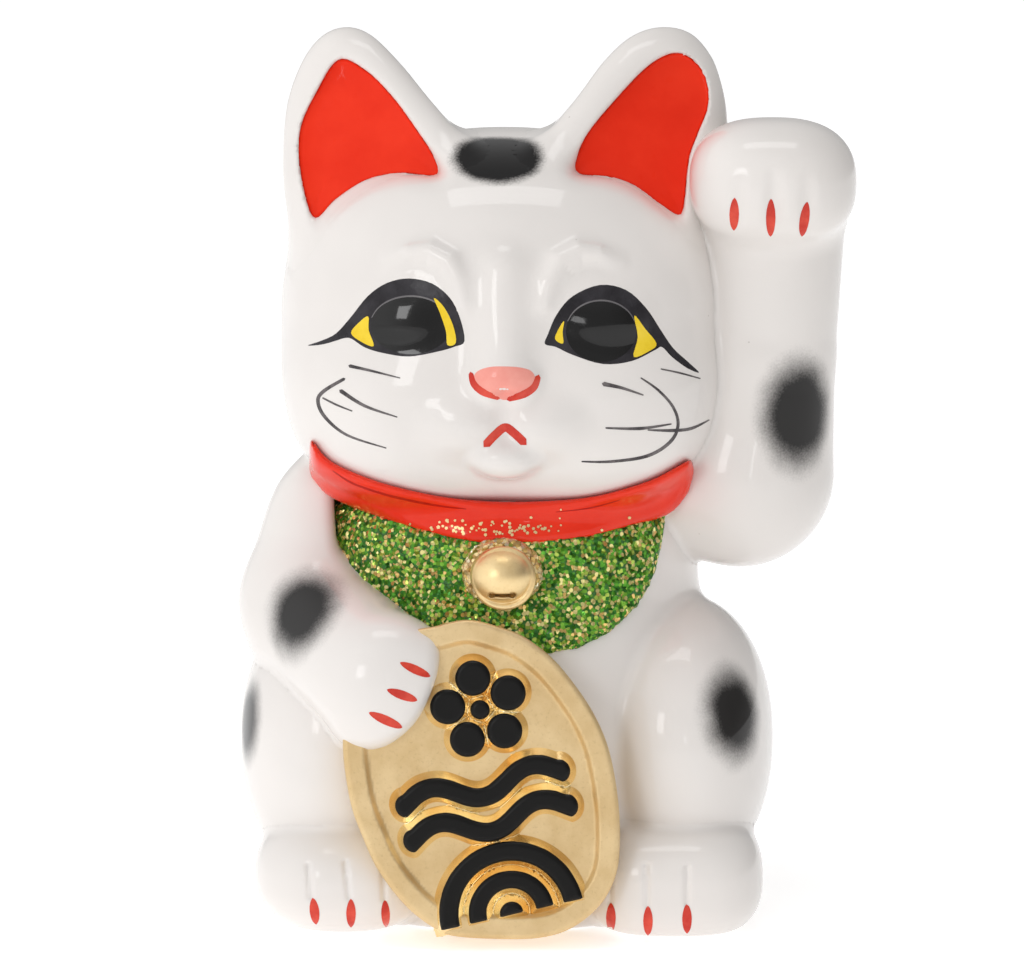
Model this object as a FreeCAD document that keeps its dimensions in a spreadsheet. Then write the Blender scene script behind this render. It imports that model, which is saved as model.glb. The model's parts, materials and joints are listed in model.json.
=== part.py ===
import FreeCAD, Part
import math
import os
import Sketcher

# Beckoning cat figurine: a glazed slip-cast coin bank with a raised left arm,
# a large oval coin under the right paw, a collar with a bell and a glitter bib.
# Millimetres. +Z up, the face looks along -Y, the raised arm is on the +X side.
# The origin is the middle of the bottom of the overall box; the cat's own
# plane of symmetry lies at x = axis_x and its trunk axis at y = axis_y.

V = FreeCAD.Vector
R = FreeCAD.Rotation

doc = FreeCAD.newDocument("beckoning_cat")
dims = doc.addObject("Spreadsheet::Sheet", "dims")

CELLS = [
    # alias, value, meaning
    ("axis_x", -7.8, "plane of symmetry of head and trunk"),
    ("axis_y", 2.46, "trunk axis"),
    ("wall", 4.5, "thickness of the cast wall"),
    ("floor_thick", 5.0, "thickness of the base"),
    ("neck_r", 16.0, "radius of the passage between head and trunk"),
    ("neck_plane", 86.0, "height where the head casting is luted to the trunk"),
    # trunk
    ("trunk_rx", 43.0, "trunk half width"),
    ("trunk_ry", 41.5, "trunk half depth"),
    ("trunk_rz", 76.0, "trunk half height of the full egg"),
    ("trunk_z", 29.0, "height of the trunk's widest place"),
    ("haunch_dx", 33.0, "haunch centre from the plane of symmetry"),
    ("haunch_dy", -6.0, "haunch centre from the trunk axis"),
    ("haunch_z", 32.5, "haunch centre height"),
    ("haunch_rx", 21.0, "haunch half width"),
    ("haunch_ry", 33.0, "haunch half depth"),
    ("haunch_rz", 30.0, "haunch half height"),
    # head
    ("head_dx", -0.5, "head centre from the plane of symmetry"),
    ("head_dy", -3.0, "head centre from the trunk axis"),
    ("head_z", 118.0, "head centre height"),
    ("head_rx", 44.0, "head half width"),
    ("head_ry", 39.0, "head half depth"),
    ("head_rz", 38.0, "head half height"),
    ("cheek_dx", 17.0, "cheek centre from the head's centre"),
    ("cheek_dy", -8.0, "cheek centre from the trunk axis"),
    ("cheek_z", 107.0, "cheek centre height"),
    ("cheek_rx", 26.5, "cheek half width"),
    ("cheek_ry", 30.0, "cheek half depth"),
    ("cheek_rz", 25.0, "cheek half height"),
    ("muzzle_rx", 14.5, "muzzle half width"),
    ("muzzle_ry", 9.5, "muzzle half depth"),
    ("muzzle_rz", 10.5, "muzzle half height"),
    ("muzzle_dy", -32.4, "muzzle centre from the trunk axis"),
    ("muzzle_z", 102.5, "muzzle centre height"),
    ("slot_wide", 34.0, "coin slot length"),
    ("slot_high", 5.0, "coin slot width"),
    ("slot_z", 128.0, "coin slot height above the base"),
    # ears: a rounded triangle from the front
    ("ear_dx", 33.2, "ear tip centre from the plane of symmetry"),
    ("ear_tip_z", 166.2, "ear tip centre height"),
    ("ear_tip_r", 9.4, "ear tip radius"),
    ("ear_foot_z", 122.0, "lower end of the ear casting"),
    ("ear_foot_out", 43.6, "outer lower corner from the plane of symmetry"),
    ("ear_foot_in", 12.0, "inner lower corner beyond the plane of symmetry, negative is short of it"),
    ("ear_front", -8.5, "front of the ear from the trunk axis"),
    ("ear_deep", 18.0, "ear depth"),
    ("ear_round", 6.5, "rounding of the ear's edges"),
    ("ear_cup_edge", 4.6, "width of the white border round the ear's hollow"),
    ("ear_cup_deep", 2.2, "depth of the ear's hollow"),
    # raised arm
    ("elbow_dx", 47.8, "elbow centre from the plane of symmetry"),
    ("elbow_dy", -5.0, "elbow centre from the trunk axis"),
    ("elbow_z", 84.5, "elbow centre height"),
    ("elbow_r", 18.0, "elbow radius"),
    ("mid_dx", 51.0, "forearm axis at half height"),
    ("mid_dy", -6.0, "forearm axis at half height from the trunk axis"),
    ("mid_z", 108.0, "half height of the forearm"),
    ("mid_r", 15.6, "forearm radius at half height"),
    ("wrist_dx", 52.6, "wrist axis"),
    ("wrist_dy", -7.0, "wrist axis from the trunk axis"),
    ("wrist_z", 136.0, "wrist height"),
    ("wrist_r", 14.0, "wrist radius"),
    ("paw_dx", 53.0, "raised paw centre"),
    ("paw_dy", -12.5, "raised paw centre from the trunk axis"),
    ("paw_z", 145.2, "raised paw centre height"),
    ("paw_rx", 16.6, "raised paw half width"),
    ("paw_ry", 16.5, "raised paw half depth"),
    ("paw_rz", 13.6, "raised paw half height"),
    # lowered arm
    ("shoulder_dx", -33.0, "right shoulder"),
    ("shoulder_dy", -3.0, "right shoulder from the trunk axis"),
    ("shoulder_z", 78.5, "right shoulder height"),
    ("shoulder_r", 13.5, "right shoulder radius"),
    ("bend_dx", -39.0, "right elbow"),
    ("bend_dy", -12.0, "right elbow from the trunk axis"),
    ("bend_z", 60.5, "right elbow height"),
    ("bend_r", 14.3, "right elbow radius"),
    ("hand_dx", -24.5, "right paw"),
    ("hand_dy", -39.5, "right paw from the trunk axis"),
    ("hand_z", 49.3, "right paw height"),
    ("hand_r", 11.4, "right paw radius"),
    # feet
    ("foot_dx", 32.5, "foot centre from the plane of symmetry"),
    ("foot_half", 17.2, "foot half width"),
    ("foot_front", -46.5, "front of the toes from the trunk axis"),
    ("foot_long", 40.0, "foot length"),
    ("foot_high", 19.0, "foot height"),
    ("foot_corner", 13.0, "foot corner radius in plan"),
    ("foot_round", 7.5, "rounding of the top of the foot"),
    ("toe_pitch", 7.2, "distance between toe grooves"),
    ("toe_groove", 0.9, "toe groove radius"),
    # tail
    ("tail_dx", 16.0, "tail centre"),
    ("tail_dy", 38.0, "tail centre from the trunk axis"),
    ("tail_z", 17.0, "tail centre height"),
    ("tail_rx", 19.0, "tail half length"),
    ("tail_ry", 8.0, "tail half depth"),
    ("tail_rz", 8.5, "tail half thickness"),
    # oval coin
    ("coin_dx", -5.0, "coin centre"),
    ("coin_dy", -45.4, "coin's datum face from the trunk axis at its centre"),
    ("coin_z", 31.6, "coin centre height"),
    ("coin_a", 34.0, "coin half length"),
    ("coin_b", 26.9, "coin half width"),
    ("coin_thick", 19.0, "coin depth before it is fitted to the belly"),
    ("coin_front", 3.0, "front of the rim from the datum face"),
    ("coin_rim", 2.4, "width of the raised rim"),
    ("coin_sink", 0.9, "depth of the face below the rim"),
    ("coin_roll", 13.0, "lean of the coin to the right paw, degrees"),
    ("coin_lean", 6.0, "backward lean of the coin, degrees"),
    ("crest_high", 1.9, "height of the raised ornament"),
    ("petal_r", 3.85, "blossom petal radius"),
    ("petal_ring", 6.3, "distance of petals from the blossom's centre"),
    ("blossom_u", 3.2, "blossom centre across the coin"),
    ("blossom_w", 16.2, "blossom centre along the coin"),
    ("stroke_half", 1.6, "half width of the ornament's strokes"),
    ("ripple_r", 7.4, "mean radius of the ripples' arcs"),
    # collar, bell, bib
    ("collar_ring", 34.6, "collar ring radius"),
    ("collar_r", 4.5, "collar section radius"),
    ("collar_z", 87.4, "collar height"),
    ("collar_tilt", 10.5, "forward tilt of the collar, degrees"),
    ("bell_dx", -0.8, "bell centre"),
    ("bell_dy", -36.6, "bell centre from the trunk axis"),
    ("bell_z", 71.4, "bell centre height"),
    ("bell_r", 6.7, "bell radius"),
    ("bell_slit", 1.2, "width of the slit in the bell"),
    ("bib_thick", 1.5, "thickness of the glitter coat"),
    ("bib_low", 55.5, "lowest point of the bib"),
    ("bib_half", 33.0, "half width of the bib"),
    # stopper
    ("hole_r", 13.0, "radius of the hole in the base"),
    ("seat_r", 16.6, "radius of the recess for the stopper's flange"),
    ("seat_deep", 3.6, "depth of that recess"),
    ("plug_r", 12.7, "radius of the stopper's plug"),
    ("flange_r", 16.0, "radius of the stopper's flange"),
    ("flange_low", 1.0, "height of the flange's underside"),
    ("plug_top", 10.5, "top of the plug"),
]
for i, (alias, value, note) in enumerate(CELLS, start=1):
    dims.set(f"A{i}", alias)
    dims.set(f"B{i}", str(value))
    dims.setAlias(f"B{i}", alias)
    dims.set(f"C{i}", note)
doc.recompute()


def d(alias):
    return float(dims.get(alias))


def bind(obj, **expressions):
    for prop, text in expressions.items():
        obj.setExpression(prop.replace("__", "."), text)
    return obj


def at(obj, x, y, z, rotation=None):
    """Ties an object's position to the sheet; x, y and z are expressions."""
    if rotation is not None:
        obj.Placement = FreeCAD.Placement(V(0, 0, 0), rotation)
    obj.setExpression("Placement.Base.x", x)
    obj.setExpression("Placement.Base.y", y)
    obj.setExpression("Placement.Base.z", z)
    return obj


def egg(name, x, y, z, rx, ry, rz, rotation=None):
    e = doc.addObject("Part::Ellipsoid", name)
    e.Angle1, e.Angle2, e.Angle3 = -90, 90, 360
    e.setExpression("Radius1", rz)
    e.setExpression("Radius2", rx)
    e.setExpression("Radius3", ry)
    return at(e, x, y, z, rotation)


def block(name, x, y, z, wide, deep, high, rotation=None):
    b = doc.addObject("Part::Box", name)
    b.setExpression("Length", wide)
    b.setExpression("Width", deep)
    b.setExpression("Height", high)
    return at(b, x, y, z, rotation)


def rod(name, x, y, z, radius, high, rotation=None):
    c = doc.addObject("Part::Cylinder", name)
    c.setExpression("Radius", radius)
    c.setExpression("Height", high)
    return at(c, x, y, z, rotation)


def fuse(name, *shapes):
    f = doc.addObject("Part::MultiFuse", name)
    f.Shapes = list(shapes)
    f.Refine = False
    return f


def cut(name, base, tool):
    c = doc.addObject("Part::Cut", name)
    c.Base, c.Tool = base, tool
    c.Refine = False
    return c


def common(name, a, b):
    c = doc.addObject("Part::MultiCommon", name)
    c.Shapes = [a, b]
    c.Refine = False
    return c


X, Y = "dims.axis_x", "dims.axis_y"

def limb(name, start, end):
    """Two balls and the cone between them."""
    balls = []
    for tag in (start, end):
        label = f"{name}_{tag}"
        ball = doc.addObject("Part::Sphere", label)
        ball.setExpression("Radius", f"dims.{tag}_r")
        balls.append(at(ball, f"{X} + dims.{tag}_dx", f"{Y} + dims.{tag}_dy", f"dims.{tag}_z"))
    cone = doc.addObject("Part::Cone", f"{name}_cone")
    cone.setExpression("Radius1", f"dims.{start}_r")
    cone.setExpression("Radius2", f"dims.{end}_r")
    p, q = (V(d(f"{t}_dx"), d(f"{t}_dy"), d(f"{t}_z")) for t in (start, end))
    gap = " + ".join(f"pow(dims.{end}_{c} - dims.{start}_{c}; 2)" for c in ("dx", "dy", "z"))
    cone.setExpression("Height", f"sqrt({gap})")
    at(cone, f"{X} + dims.{start}_dx", f"{Y} + dims.{start}_dy", f"dims.{start}_z", R(V(0, 0, 1), q - p))
    return balls + [cone]


# ------------------------------------------------------------------ trunk
trunk_egg = egg("trunk_egg", X, Y, "dims.trunk_z", "dims.trunk_rx", "dims.trunk_ry", "dims.trunk_rz")
haunch_l = egg("haunch_left", f"{X} + dims.haunch_dx", f"{Y} + dims.haunch_dy", "dims.haunch_z",
               "dims.haunch_rx", "dims.haunch_ry", "dims.haunch_rz")
haunch_r = egg("haunch_right", f"{X} - dims.haunch_dx", f"{Y} + dims.haunch_dy", "dims.haunch_z",
               "dims.haunch_rx", "dims.haunch_ry", "dims.haunch_rz")
trunk_full = fuse("trunk_full", trunk_egg, haunch_l, haunch_r)
trunk_slab = block("trunk_slab", "-80", "-80", "0", "160", "160", "dims.neck_plane")
trunk_outer = common("trunk_outer", trunk_full, trunk_slab)

trunk_hollow_egg = egg("trunk_hollow_egg", X, Y, "dims.trunk_z", "dims.trunk_rx - dims.wall",
                       "dims.trunk_ry - dims.wall", "dims.trunk_rz - dims.wall")
hollow_l = egg("haunch_hollow_left", f"{X} + dims.haunch_dx", f"{Y} + dims.haunch_dy", "dims.haunch_z",
               "dims.haunch_rx - dims.wall", "dims.haunch_ry - dims.wall", "dims.haunch_rz - dims.wall")
hollow_r = egg("haunch_hollow_right", f"{X} - dims.haunch_dx", f"{Y} + dims.haunch_dy", "dims.haunch_z",
               "dims.haunch_rx - dims.wall", "dims.haunch_ry - dims.wall", "dims.haunch_rz - dims.wall")
hollow_full = fuse("hollow_full", trunk_hollow_egg, hollow_l, hollow_r)
hollow_slab = block("hollow_slab", "-80", "-80", "dims.floor_thick", "160", "160", "120")
trunk_hollow = common("trunk_hollow", hollow_full, hollow_slab)
base_hole = rod("base_hole", X, Y, "-5", "dims.hole_r", "20")
base_seat = rod("base_seat", X, Y, "-5", "dims.seat_r", "5 + dims.seat_deep")
trunk_tools = fuse("trunk_tools", trunk_hollow, base_hole, base_seat)
torso = cut("torso", trunk_outer, trunk_tools)
torso.Label = "torso"

# ------------------------------------------------------------------ head
head_egg = egg("head_egg", f"{X} + dims.head_dx", f"{Y} + dims.head_dy", "dims.head_z",
               "dims.head_rx", "dims.head_ry", "dims.head_rz")
muzzle_egg = egg("muzzle_egg", f"{X} + dims.head_dx", f"{Y} + dims.muzzle_dy", "dims.muzzle_z",
                 "dims.muzzle_rx", "dims.muzzle_ry", "dims.muzzle_rz")
cheeks = [
    egg(f"cheek_{side}", f"{X} + dims.head_dx + {sign} * dims.cheek_dx", f"{Y} + dims.cheek_dy", "dims.cheek_z",
        "dims.cheek_rx", "dims.cheek_ry", "dims.cheek_rz")
    for side, sign in (("left", 1), ("right", -1))
]
head_full = fuse("head_full", head_egg, muzzle_egg, *cheeks)
head_slab = block("head_slab", "-80", "-80", "dims.neck_plane", "160", "160", "120")
head_outer = common("head_outer", head_full, head_slab)
head_hollow_egg = egg("head_hollow_egg", f"{X} + dims.head_dx", f"{Y} + dims.head_dy", "dims.head_z",
                  "dims.head_rx - dims.wall", "dims.head_ry - dims.wall", "dims.head_rz - dims.wall")
cheek_hollows = [
    egg(f"cheek_hollow_{side}", f"{X} + dims.head_dx + {sign} * dims.cheek_dx", f"{Y} + dims.cheek_dy", "dims.cheek_z",
        "dims.cheek_rx - dims.wall", "dims.cheek_ry - dims.wall", "dims.cheek_rz - dims.wall")
    for side, sign in (("left", 1), ("right", -1))
]
head_hollow = fuse("head_hollow", head_hollow_egg, *cheek_hollows)
coin_slot = block("coin_slot", f"{X} + dims.head_dx - dims.slot_wide / 2", f"{Y} + 15",
                  "dims.slot_z - dims.slot_high / 2", "dims.slot_wide", "40", "dims.slot_high")
neck_hole = rod("neck_hole", f"{X} + dims.head_dx", f"{Y} + dims.head_dy", "dims.neck_plane - 10", "dims.neck_r", "24")
head_tools = fuse("head_tools", head_hollow, coin_slot, neck_hole)
head = cut("head", head_outer, head_tools)
head.Label = "head"

# ------------------------------------------------------------------ raised arm
def plane_of(body, role):
    return [f for f in body.Origin.OriginFeatures if f.Role == role][0]


def sketch_on(body, role, name):
    sk = body.newObject("Sketcher::SketchObject", name)
    sk.AttachmentSupport = [(plane_of(body, role), "")]
    sk.MapMode = "FlatFace"
    return sk


raised_paw = egg("raised_paw", f"{X} + dims.paw_dx", f"{Y} + dims.paw_dy", "dims.paw_z",
                 "dims.paw_rx", "dims.paw_ry", "dims.paw_rz")
raised_raw = fuse("raised_raw", raised_paw, *limb("raised_lower", "elbow", "mid"), *limb("raised_upper", "mid", "wrist"))

# ------------------------------------------------------------------ collar
collar_torus = doc.addObject("Part::Torus", "collar_torus")
collar_torus.Angle1, collar_torus.Angle2, collar_torus.Angle3 = -180, 180, 360
collar_torus.setExpression("Radius1", "dims.collar_ring")
collar_torus.setExpression("Radius2", "dims.collar_r")
at(collar_torus, X, f"{Y} - 1", "dims.collar_z", R(V(1, 0, 0), d("collar_tilt")))
collar_torus.setExpression("Placement.Rotation.Angle", "dims.collar_tilt")
castings = fuse("castings", trunk_outer, head_outer)
collar = cut("collar", collar_torus, castings)
collar.Label = "collar"

raised_tools = fuse("raised_tools", castings, collar_torus)
raised_arm = cut("raised_arm", raised_raw, raised_tools)
raised_arm.Label = "raised_arm"

# ------------------------------------------------------------------ ears
def tangent_point(px, pz, cx, cz, r, outer):
    """Where the line from a corner touches the tip's circle on the outer or the inner side."""
    dx, dz = px - cx, pz - cz
    dist = math.hypot(dx, dz)
    base, turn = math.atan2(dz, dx), math.acos(r / dist)
    t = base + turn * (1 if outer else -1)
    return cx + r * math.cos(t), cz + r * math.sin(t)


def ear_outline(body, name, sign, inset):
    """The ear from the front: a foot line, two straight flanks and a round tip."""
    sk = sketch_on(body, "XZ_Plane", name)
    cx, cz, r = sign * d("ear_dx"), d("ear_tip_z"), d("ear_tip_r") - inset
    out, inn, foot = sign * (d("ear_foot_out") - inset), sign * (-d("ear_foot_in") + inset * 1.2), d("ear_foot_z")
    to = tangent_point(out, foot, cx, cz, r, sign > 0)
    # on the mirrored ear the outer flank lies on the other side of the circle
    ti = tangent_point(inn, foot, cx, cz, r, sign < 0)
    # the arc runs over the top of the tip, anticlockwise from the +x flank to the -x flank
    start, end = (to, ti) if sign > 0 else (ti, to)
    t0, t1 = math.atan2(start[1] - cz, start[0] - cx), math.atan2(end[1] - cz, end[0] - cx)
    if t1 < t0:
        t1 += 2 * math.pi
    p_start, p_end = ((out, foot), (inn, foot)) if sign > 0 else ((inn, foot), (out, foot))
    g0 = sk.addGeometry(Part.LineSegment(V(*p_end, 0), V(*p_start, 0)), False)
    g1 = sk.addGeometry(Part.LineSegment(V(*p_start, 0), V(*start, 0)), False)
    g2 = sk.addGeometry(Part.ArcOfCircle(Part.Circle(V(cx, cz, 0), V(0, 0, 1), r), t0, t1), False)
    g3 = sk.addGeometry(Part.LineSegment(V(*end, 0), V(*p_end, 0)), False)
    K = Sketcher.Constraint
    sk.addConstraint([K("Horizontal", g0), K("Coincident", g0, 2, g1, 1), K("Tangent", g1, 2, g2, 1),
                      K("Tangent", g2, 2, g3, 1), K("Coincident", g3, 2, g0, 1)])
    o = "dims.ear_foot_out" + (f" - dims.ear_cup_edge" if inset else "")
    i = "-dims.ear_foot_in" + (f" + 1.2 * dims.ear_cup_edge" if inset else "")
    rr = "dims.ear_tip_r" + (f" - dims.ear_cup_edge" if inset else "")
    right, left = (o, i) if sign > 0 else (f"-({i})", f"-({o})")
    for kind, args, value, text in (
        ("Radius", (g2,), r, rr),
        ("DistanceX", (-1, 1, g2, 3), cx, f"{sign} * dims.ear_dx"),
        ("DistanceY", (-1, 1, g2, 3), cz, "dims.ear_tip_z"),
        ("DistanceX", (-1, 1, g0, 2), p_start[0], right),
        ("DistanceX", (-1, 1, g0, 1), p_end[0], left),
        ("DistanceY", (-1, 1, g0, 1), foot, "dims.ear_foot_z"),
    ):
        n = sk.addConstraint(K(kind, *args, value))
        sk.setExpression(f"Constraints[{n}]", text)
    return sk


for side, sign in (("left", 1), ("right", -1)):
    body = doc.addObject("PartDesign::Body", f"{side}_ear_body")
    sk = ear_outline(body, f"{side}_ear_outline", sign, 0.0)
    doc.recompute()
    pad = body.newObject("PartDesign::Pad", f"{side}_ear_pad")
    pad.Profile = sk
    pad.setExpression("Length", "dims.ear_deep")
    pad.SideType = "Symmetric"
    doc.recompute()
    half = d("ear_deep") / 2
    rims = [f"Edge{n}" for n, e in enumerate(pad.Shape.Edges, start=1)
            if abs(abs(e.CenterOfMass.y) - half) < 1e-6 and e.CenterOfMass.z > d("ear_foot_z") + 1]
    soft = body.newObject("PartDesign::Fillet", f"{side}_ear_round")
    soft.Base = (pad, rims)
    soft.setExpression("Radius", "dims.ear_round")
    body.Tip = soft
    doc.recompute()
    cup = ear_outline(body, f"{side}_ear_hollow_outline", sign, d("ear_cup_edge"))
    cup.setExpression("AttachmentOffset.Base.z", "dims.ear_deep / 2 - dims.ear_cup_deep")
    doc.recompute()
    pocket = body.newObject("PartDesign::Pocket", f"{side}_ear_hollow")
    pocket.Profile = cup
    pocket.Type = 1
    pocket.Reversed = True
    body.Tip = pocket
    doc.recompute()
    at(body, X, f"{Y} + dims.ear_front + dims.ear_deep / 2", "0")
    tools = fuse(f"{side}_ear_tools", head_outer, raised_raw)
    whole = cut(f"{side}_ear", body, tools)
    whole.Label = f"{side}_ear"

# ------------------------------------------------------------------ oval coin
coin_turn = R(V(1, 0, 0), 90.0 - d("coin_lean")).multiply(R(V(0, 0, 1), 90.0 + d("coin_roll")))
coin_place = FreeCAD.Placement(
    V(d("axis_x") + d("coin_dx"), d("axis_y") + d("coin_dy"), d("coin_z")), coin_turn)


def oval(name, a_text, b_text, low_text, high_text):
    """A prism on an ellipse, whose low and high faces are measured along the coin's own axis from its face."""
    e = doc.addObject("Part::Ellipse", name + "_outline")
    e.setExpression("MajorRadius", a_text)
    e.setExpression("MinorRadius", b_text)
    e.Placement = coin_place
    x = doc.addObject("Part::Extrusion", name)
    x.Base = e
    x.DirMode = "Custom"
    x.Dir = coin_turn.multVec(V(0, 0, 1))
    x.Solid = True
    x.setExpression("LengthFwd", high_text)
    x.setExpression("LengthRev", low_text)
    return x


coin_prism = oval("coin_prism", "dims.coin_a", "dims.coin_b", "dims.coin_thick - dims.coin_front", "dims.coin_front")
coin_sinker = oval("coin_sinker", "dims.coin_a - dims.coin_rim", "dims.coin_b - dims.coin_rim",
                   "dims.coin_sink - dims.coin_front", "9")
doc.recompute()
front_edges = []
for n, edge in enumerate(coin_prism.Shape.Edges, start=1):
    middle = edge.CenterOfMass
    local = coin_place.inverse().multVec(middle)
    if edge.isClosed() and local.z > 0:
        front_edges.append((n, 1.3, 1.3))
coin_soft = doc.addObject("Part::Fillet", "coin_soft")
coin_soft.Base = coin_prism
coin_soft.Edges = front_edges
above_floor = block("above_floor", "-80", "-80", "0", "160", "160", "100")
coin_standing = common("coin_standing", coin_soft, above_floor)
coin_tools = fuse("coin_tools", trunk_outer, coin_sinker)
oval_coin = cut("oval_coin", coin_standing, coin_tools)
oval_coin.Label = "oval_coin"

# Raised ornament on the coin's face: a five-petalled blossom, two ripples and
# a fan of nested waves. Each stroke is a solid of its own.
strokes = []


def on_coin(obj, u, w, spin=0.0):
    """Puts an object at u across and w along the coin, on its sunk face."""
    # the outline's own x axis runs along the coin, so w is local x and -u is local y
    local = FreeCAD.Placement(V(w, -u, d("coin_front") - d("coin_sink")), R(V(0, 0, 1), spin))
    obj.Placement = coin_place.multiply(local)
    return obj


def disc(name, u, w, r_text, high="dims.crest_high"):
    c = doc.addObject("Part::Cylinder", name)
    c.setExpression("Radius", r_text)
    c.setExpression("Height", high)
    return on_coin(c, u, w)


def arc_band(name, u, w, r_text, sweep, spin):
    """Part of a flat ring of the stroke's width, centred at u, w."""
    big = doc.addObject("Part::Cylinder", name + "_outer")
    big.setExpression("Radius", f"{r_text} + dims.stroke_half")
    big.setExpression("Height", "dims.crest_high")
    big.Angle = sweep
    small = doc.addObject("Part::Cylinder", name + "_inner")
    small.setExpression("Radius", f"{r_text} - dims.stroke_half")
    small.setExpression("Height", "dims.crest_high")
    on_coin(big, u, w, spin)
    on_coin(small, u, w, spin)
    return cut(name, big, small)


for k in range(5):
    t = math.radians(90 + 72 * k)
    strokes.append(disc(f"petal_{k + 1}", d("blossom_u") + d("petal_ring") * math.cos(t),
                        d("blossom_w") + d("petal_ring") * math.sin(t), "dims.petal_r - 0.25"))
strokes.append(disc("blossom_eye", d("blossom_u"), d("blossom_w"), "2.1"))

# a ripple is three quarter arcs, hollow up, down and up again, with round ends
ripple_r = d("ripple_r")
chord, rise = ripple_r * math.sqrt(2), ripple_r / math.sqrt(2)
for row, w0 in enumerate([0.4, -6.0], start=1):
    parts = []
    for k, up in ((-1, True), (0, False), (1, True)):
        u0 = k * chord
        # an arc above its centre is spanned about +w; the outline's own x axis is +w
        spin = -45 if not up else 135
        parts.append(arc_band(f"ripple_{row}_arc_{k + 2}", u0, w0 + (rise if up else -rise),
                              "dims.ripple_r", 90, spin))
    parts.append(disc(f"ripple_{row}_end_a", -1.5 * chord, w0, "dims.stroke_half"))
    parts.append(disc(f"ripple_{row}_end_b", 1.5 * chord, w0, "dims.stroke_half"))
    strokes.append(fuse(f"ripple_{row}", *parts))

for k, r_text in enumerate(["12.3", "6.0"], start=1):
    strokes.append(arc_band(f"wave_{k}", 0, -25.4, r_text, 180, -90))
core = disc("wave_core", 0, -25.4, "1.9")
core.Angle = 180
on_coin(core, 0, -25.4, -90)
strokes.append(core)
crest = doc.addObject("Part::Compound", "coin_crest")
crest.Links = strokes
crest.Label = "coin_crest"

# ------------------------------------------------------------------ lowered arm
lowered_raw = fuse("lowered_raw", *limb("upper_arm", "shoulder", "bend"), *limb("fore_arm", "bend", "hand"))
lowered_tools = fuse("lowered_tools", castings, collar_torus, coin_prism)
lowered_arm = cut("lowered_arm", lowered_raw, lowered_tools)
lowered_arm.Label = "lowered_arm"

# ------------------------------------------------------------------ feet
for side, sign in (("left", 1), ("right", -1)):
    body = doc.addObject("PartDesign::Body", f"{side}_foot_body")
    sk = sketch_on(body, "XY_Plane", f"{side}_foot_plan")
    w, l, c = d("foot_half"), d("foot_long"), d("foot_corner")
    # a rectangle with round corners, drawn about the middle of its front edge
    pts = [V(-w + c, 0, 0), V(w - c, 0, 0), V(w, c, 0), V(w, l, 0), V(-w, l, 0), V(-w, c, 0)]
    q = math.pi / 2
    g0 = sk.addGeometry(Part.LineSegment(pts[0], pts[1]), False)
    g1 = sk.addGeometry(Part.ArcOfCircle(Part.Circle(V(w - c, c, 0), V(0, 0, 1), c), -q, 0), False)
    g2 = sk.addGeometry(Part.LineSegment(pts[2], pts[3]), False)
    g3 = sk.addGeometry(Part.LineSegment(pts[3], pts[4]), False)
    g4 = sk.addGeometry(Part.LineSegment(pts[4], pts[5]), False)
    g5 = sk.addGeometry(Part.ArcOfCircle(Part.Circle(V(-w + c, c, 0), V(0, 0, 1), c), 2 * q, 3 * q), False)
    K = Sketcher.Constraint
    sk.addConstraint([
        K("Tangent", g0, 2, g1, 1), K("Tangent", g1, 2, g2, 1), K("Coincident", g2, 2, g3, 1),
        K("Coincident", g3, 2, g4, 1), K("Tangent", g4, 2, g5, 1), K("Tangent", g5, 2, g0, 1),
        K("Vertical", g2), K("Horizontal", g3), K("Vertical", g4), K("Equal", g1, g5),
        K("PointOnObject", g0, 1, -1), K("Symmetric", g0, 1, g0, 2, -2),
    ])
    for kind, args, value, text in (
        ("Radius", (g1,), c, "dims.foot_corner"),
        ("DistanceX", (g3, 2, g3, 1), 2 * w, "2 * dims.foot_half"),
        ("DistanceY", (g0, 1, g3, 2), l, "dims.foot_long"),
    ):
        n = sk.addConstraint(K(kind, *args, value))
        sk.setExpression(f"Constraints[{n}]", text)
    doc.recompute()
    pad = body.newObject("PartDesign::Pad", f"{side}_foot_pad")
    pad.Profile = sk
    pad.setExpression("Length", "dims.foot_high")
    doc.recompute()
    top = [f"Edge{n}" for n, e in enumerate(pad.Shape.Edges, start=1)
           if all(abs(v.Point.z - d("foot_high")) < 1e-6 for v in e.Vertexes)
           and not all(abs(v.Point.y - d("foot_long")) < 1e-6 for v in e.Vertexes)]
    fillet = body.newObject("PartDesign::Fillet", f"{side}_foot_round")
    fillet.Base = (pad, top)
    fillet.setExpression("Radius", "dims.foot_round")
    body.Tip = fillet
    at(body, f"{X} + {sign} * dims.foot_dx", f"{Y} + dims.foot_front", "0")
    grooves = [
        rod(f"{side}_toe_groove_{k + 2}", f"{X} + {sign} * dims.foot_dx + {k} * dims.toe_pitch",
            f"{Y} + dims.foot_front - 0.15", "2", "dims.toe_groove", "9.5")
        for k in (-1, 0, 1)
    ]
    tools = fuse(f"{side}_foot_tools", trunk_outer, coin_prism, *grooves)
    foot = cut(f"{side}_foot", body, tools)
    foot.Label = f"{side}_foot"

# ------------------------------------------------------------------ tail
tail_egg = egg("tail_egg", f"{X} + dims.tail_dx", f"{Y} + dims.tail_dy", "dims.tail_z",
               "dims.tail_rx", "dims.tail_ry", "dims.tail_rz", R(V(0, 0, 1), -18).multiply(R(V(0, 1, 0), -24)))
tail = cut("tail", tail_egg, trunk_outer)
tail.Label = "tail"

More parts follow.
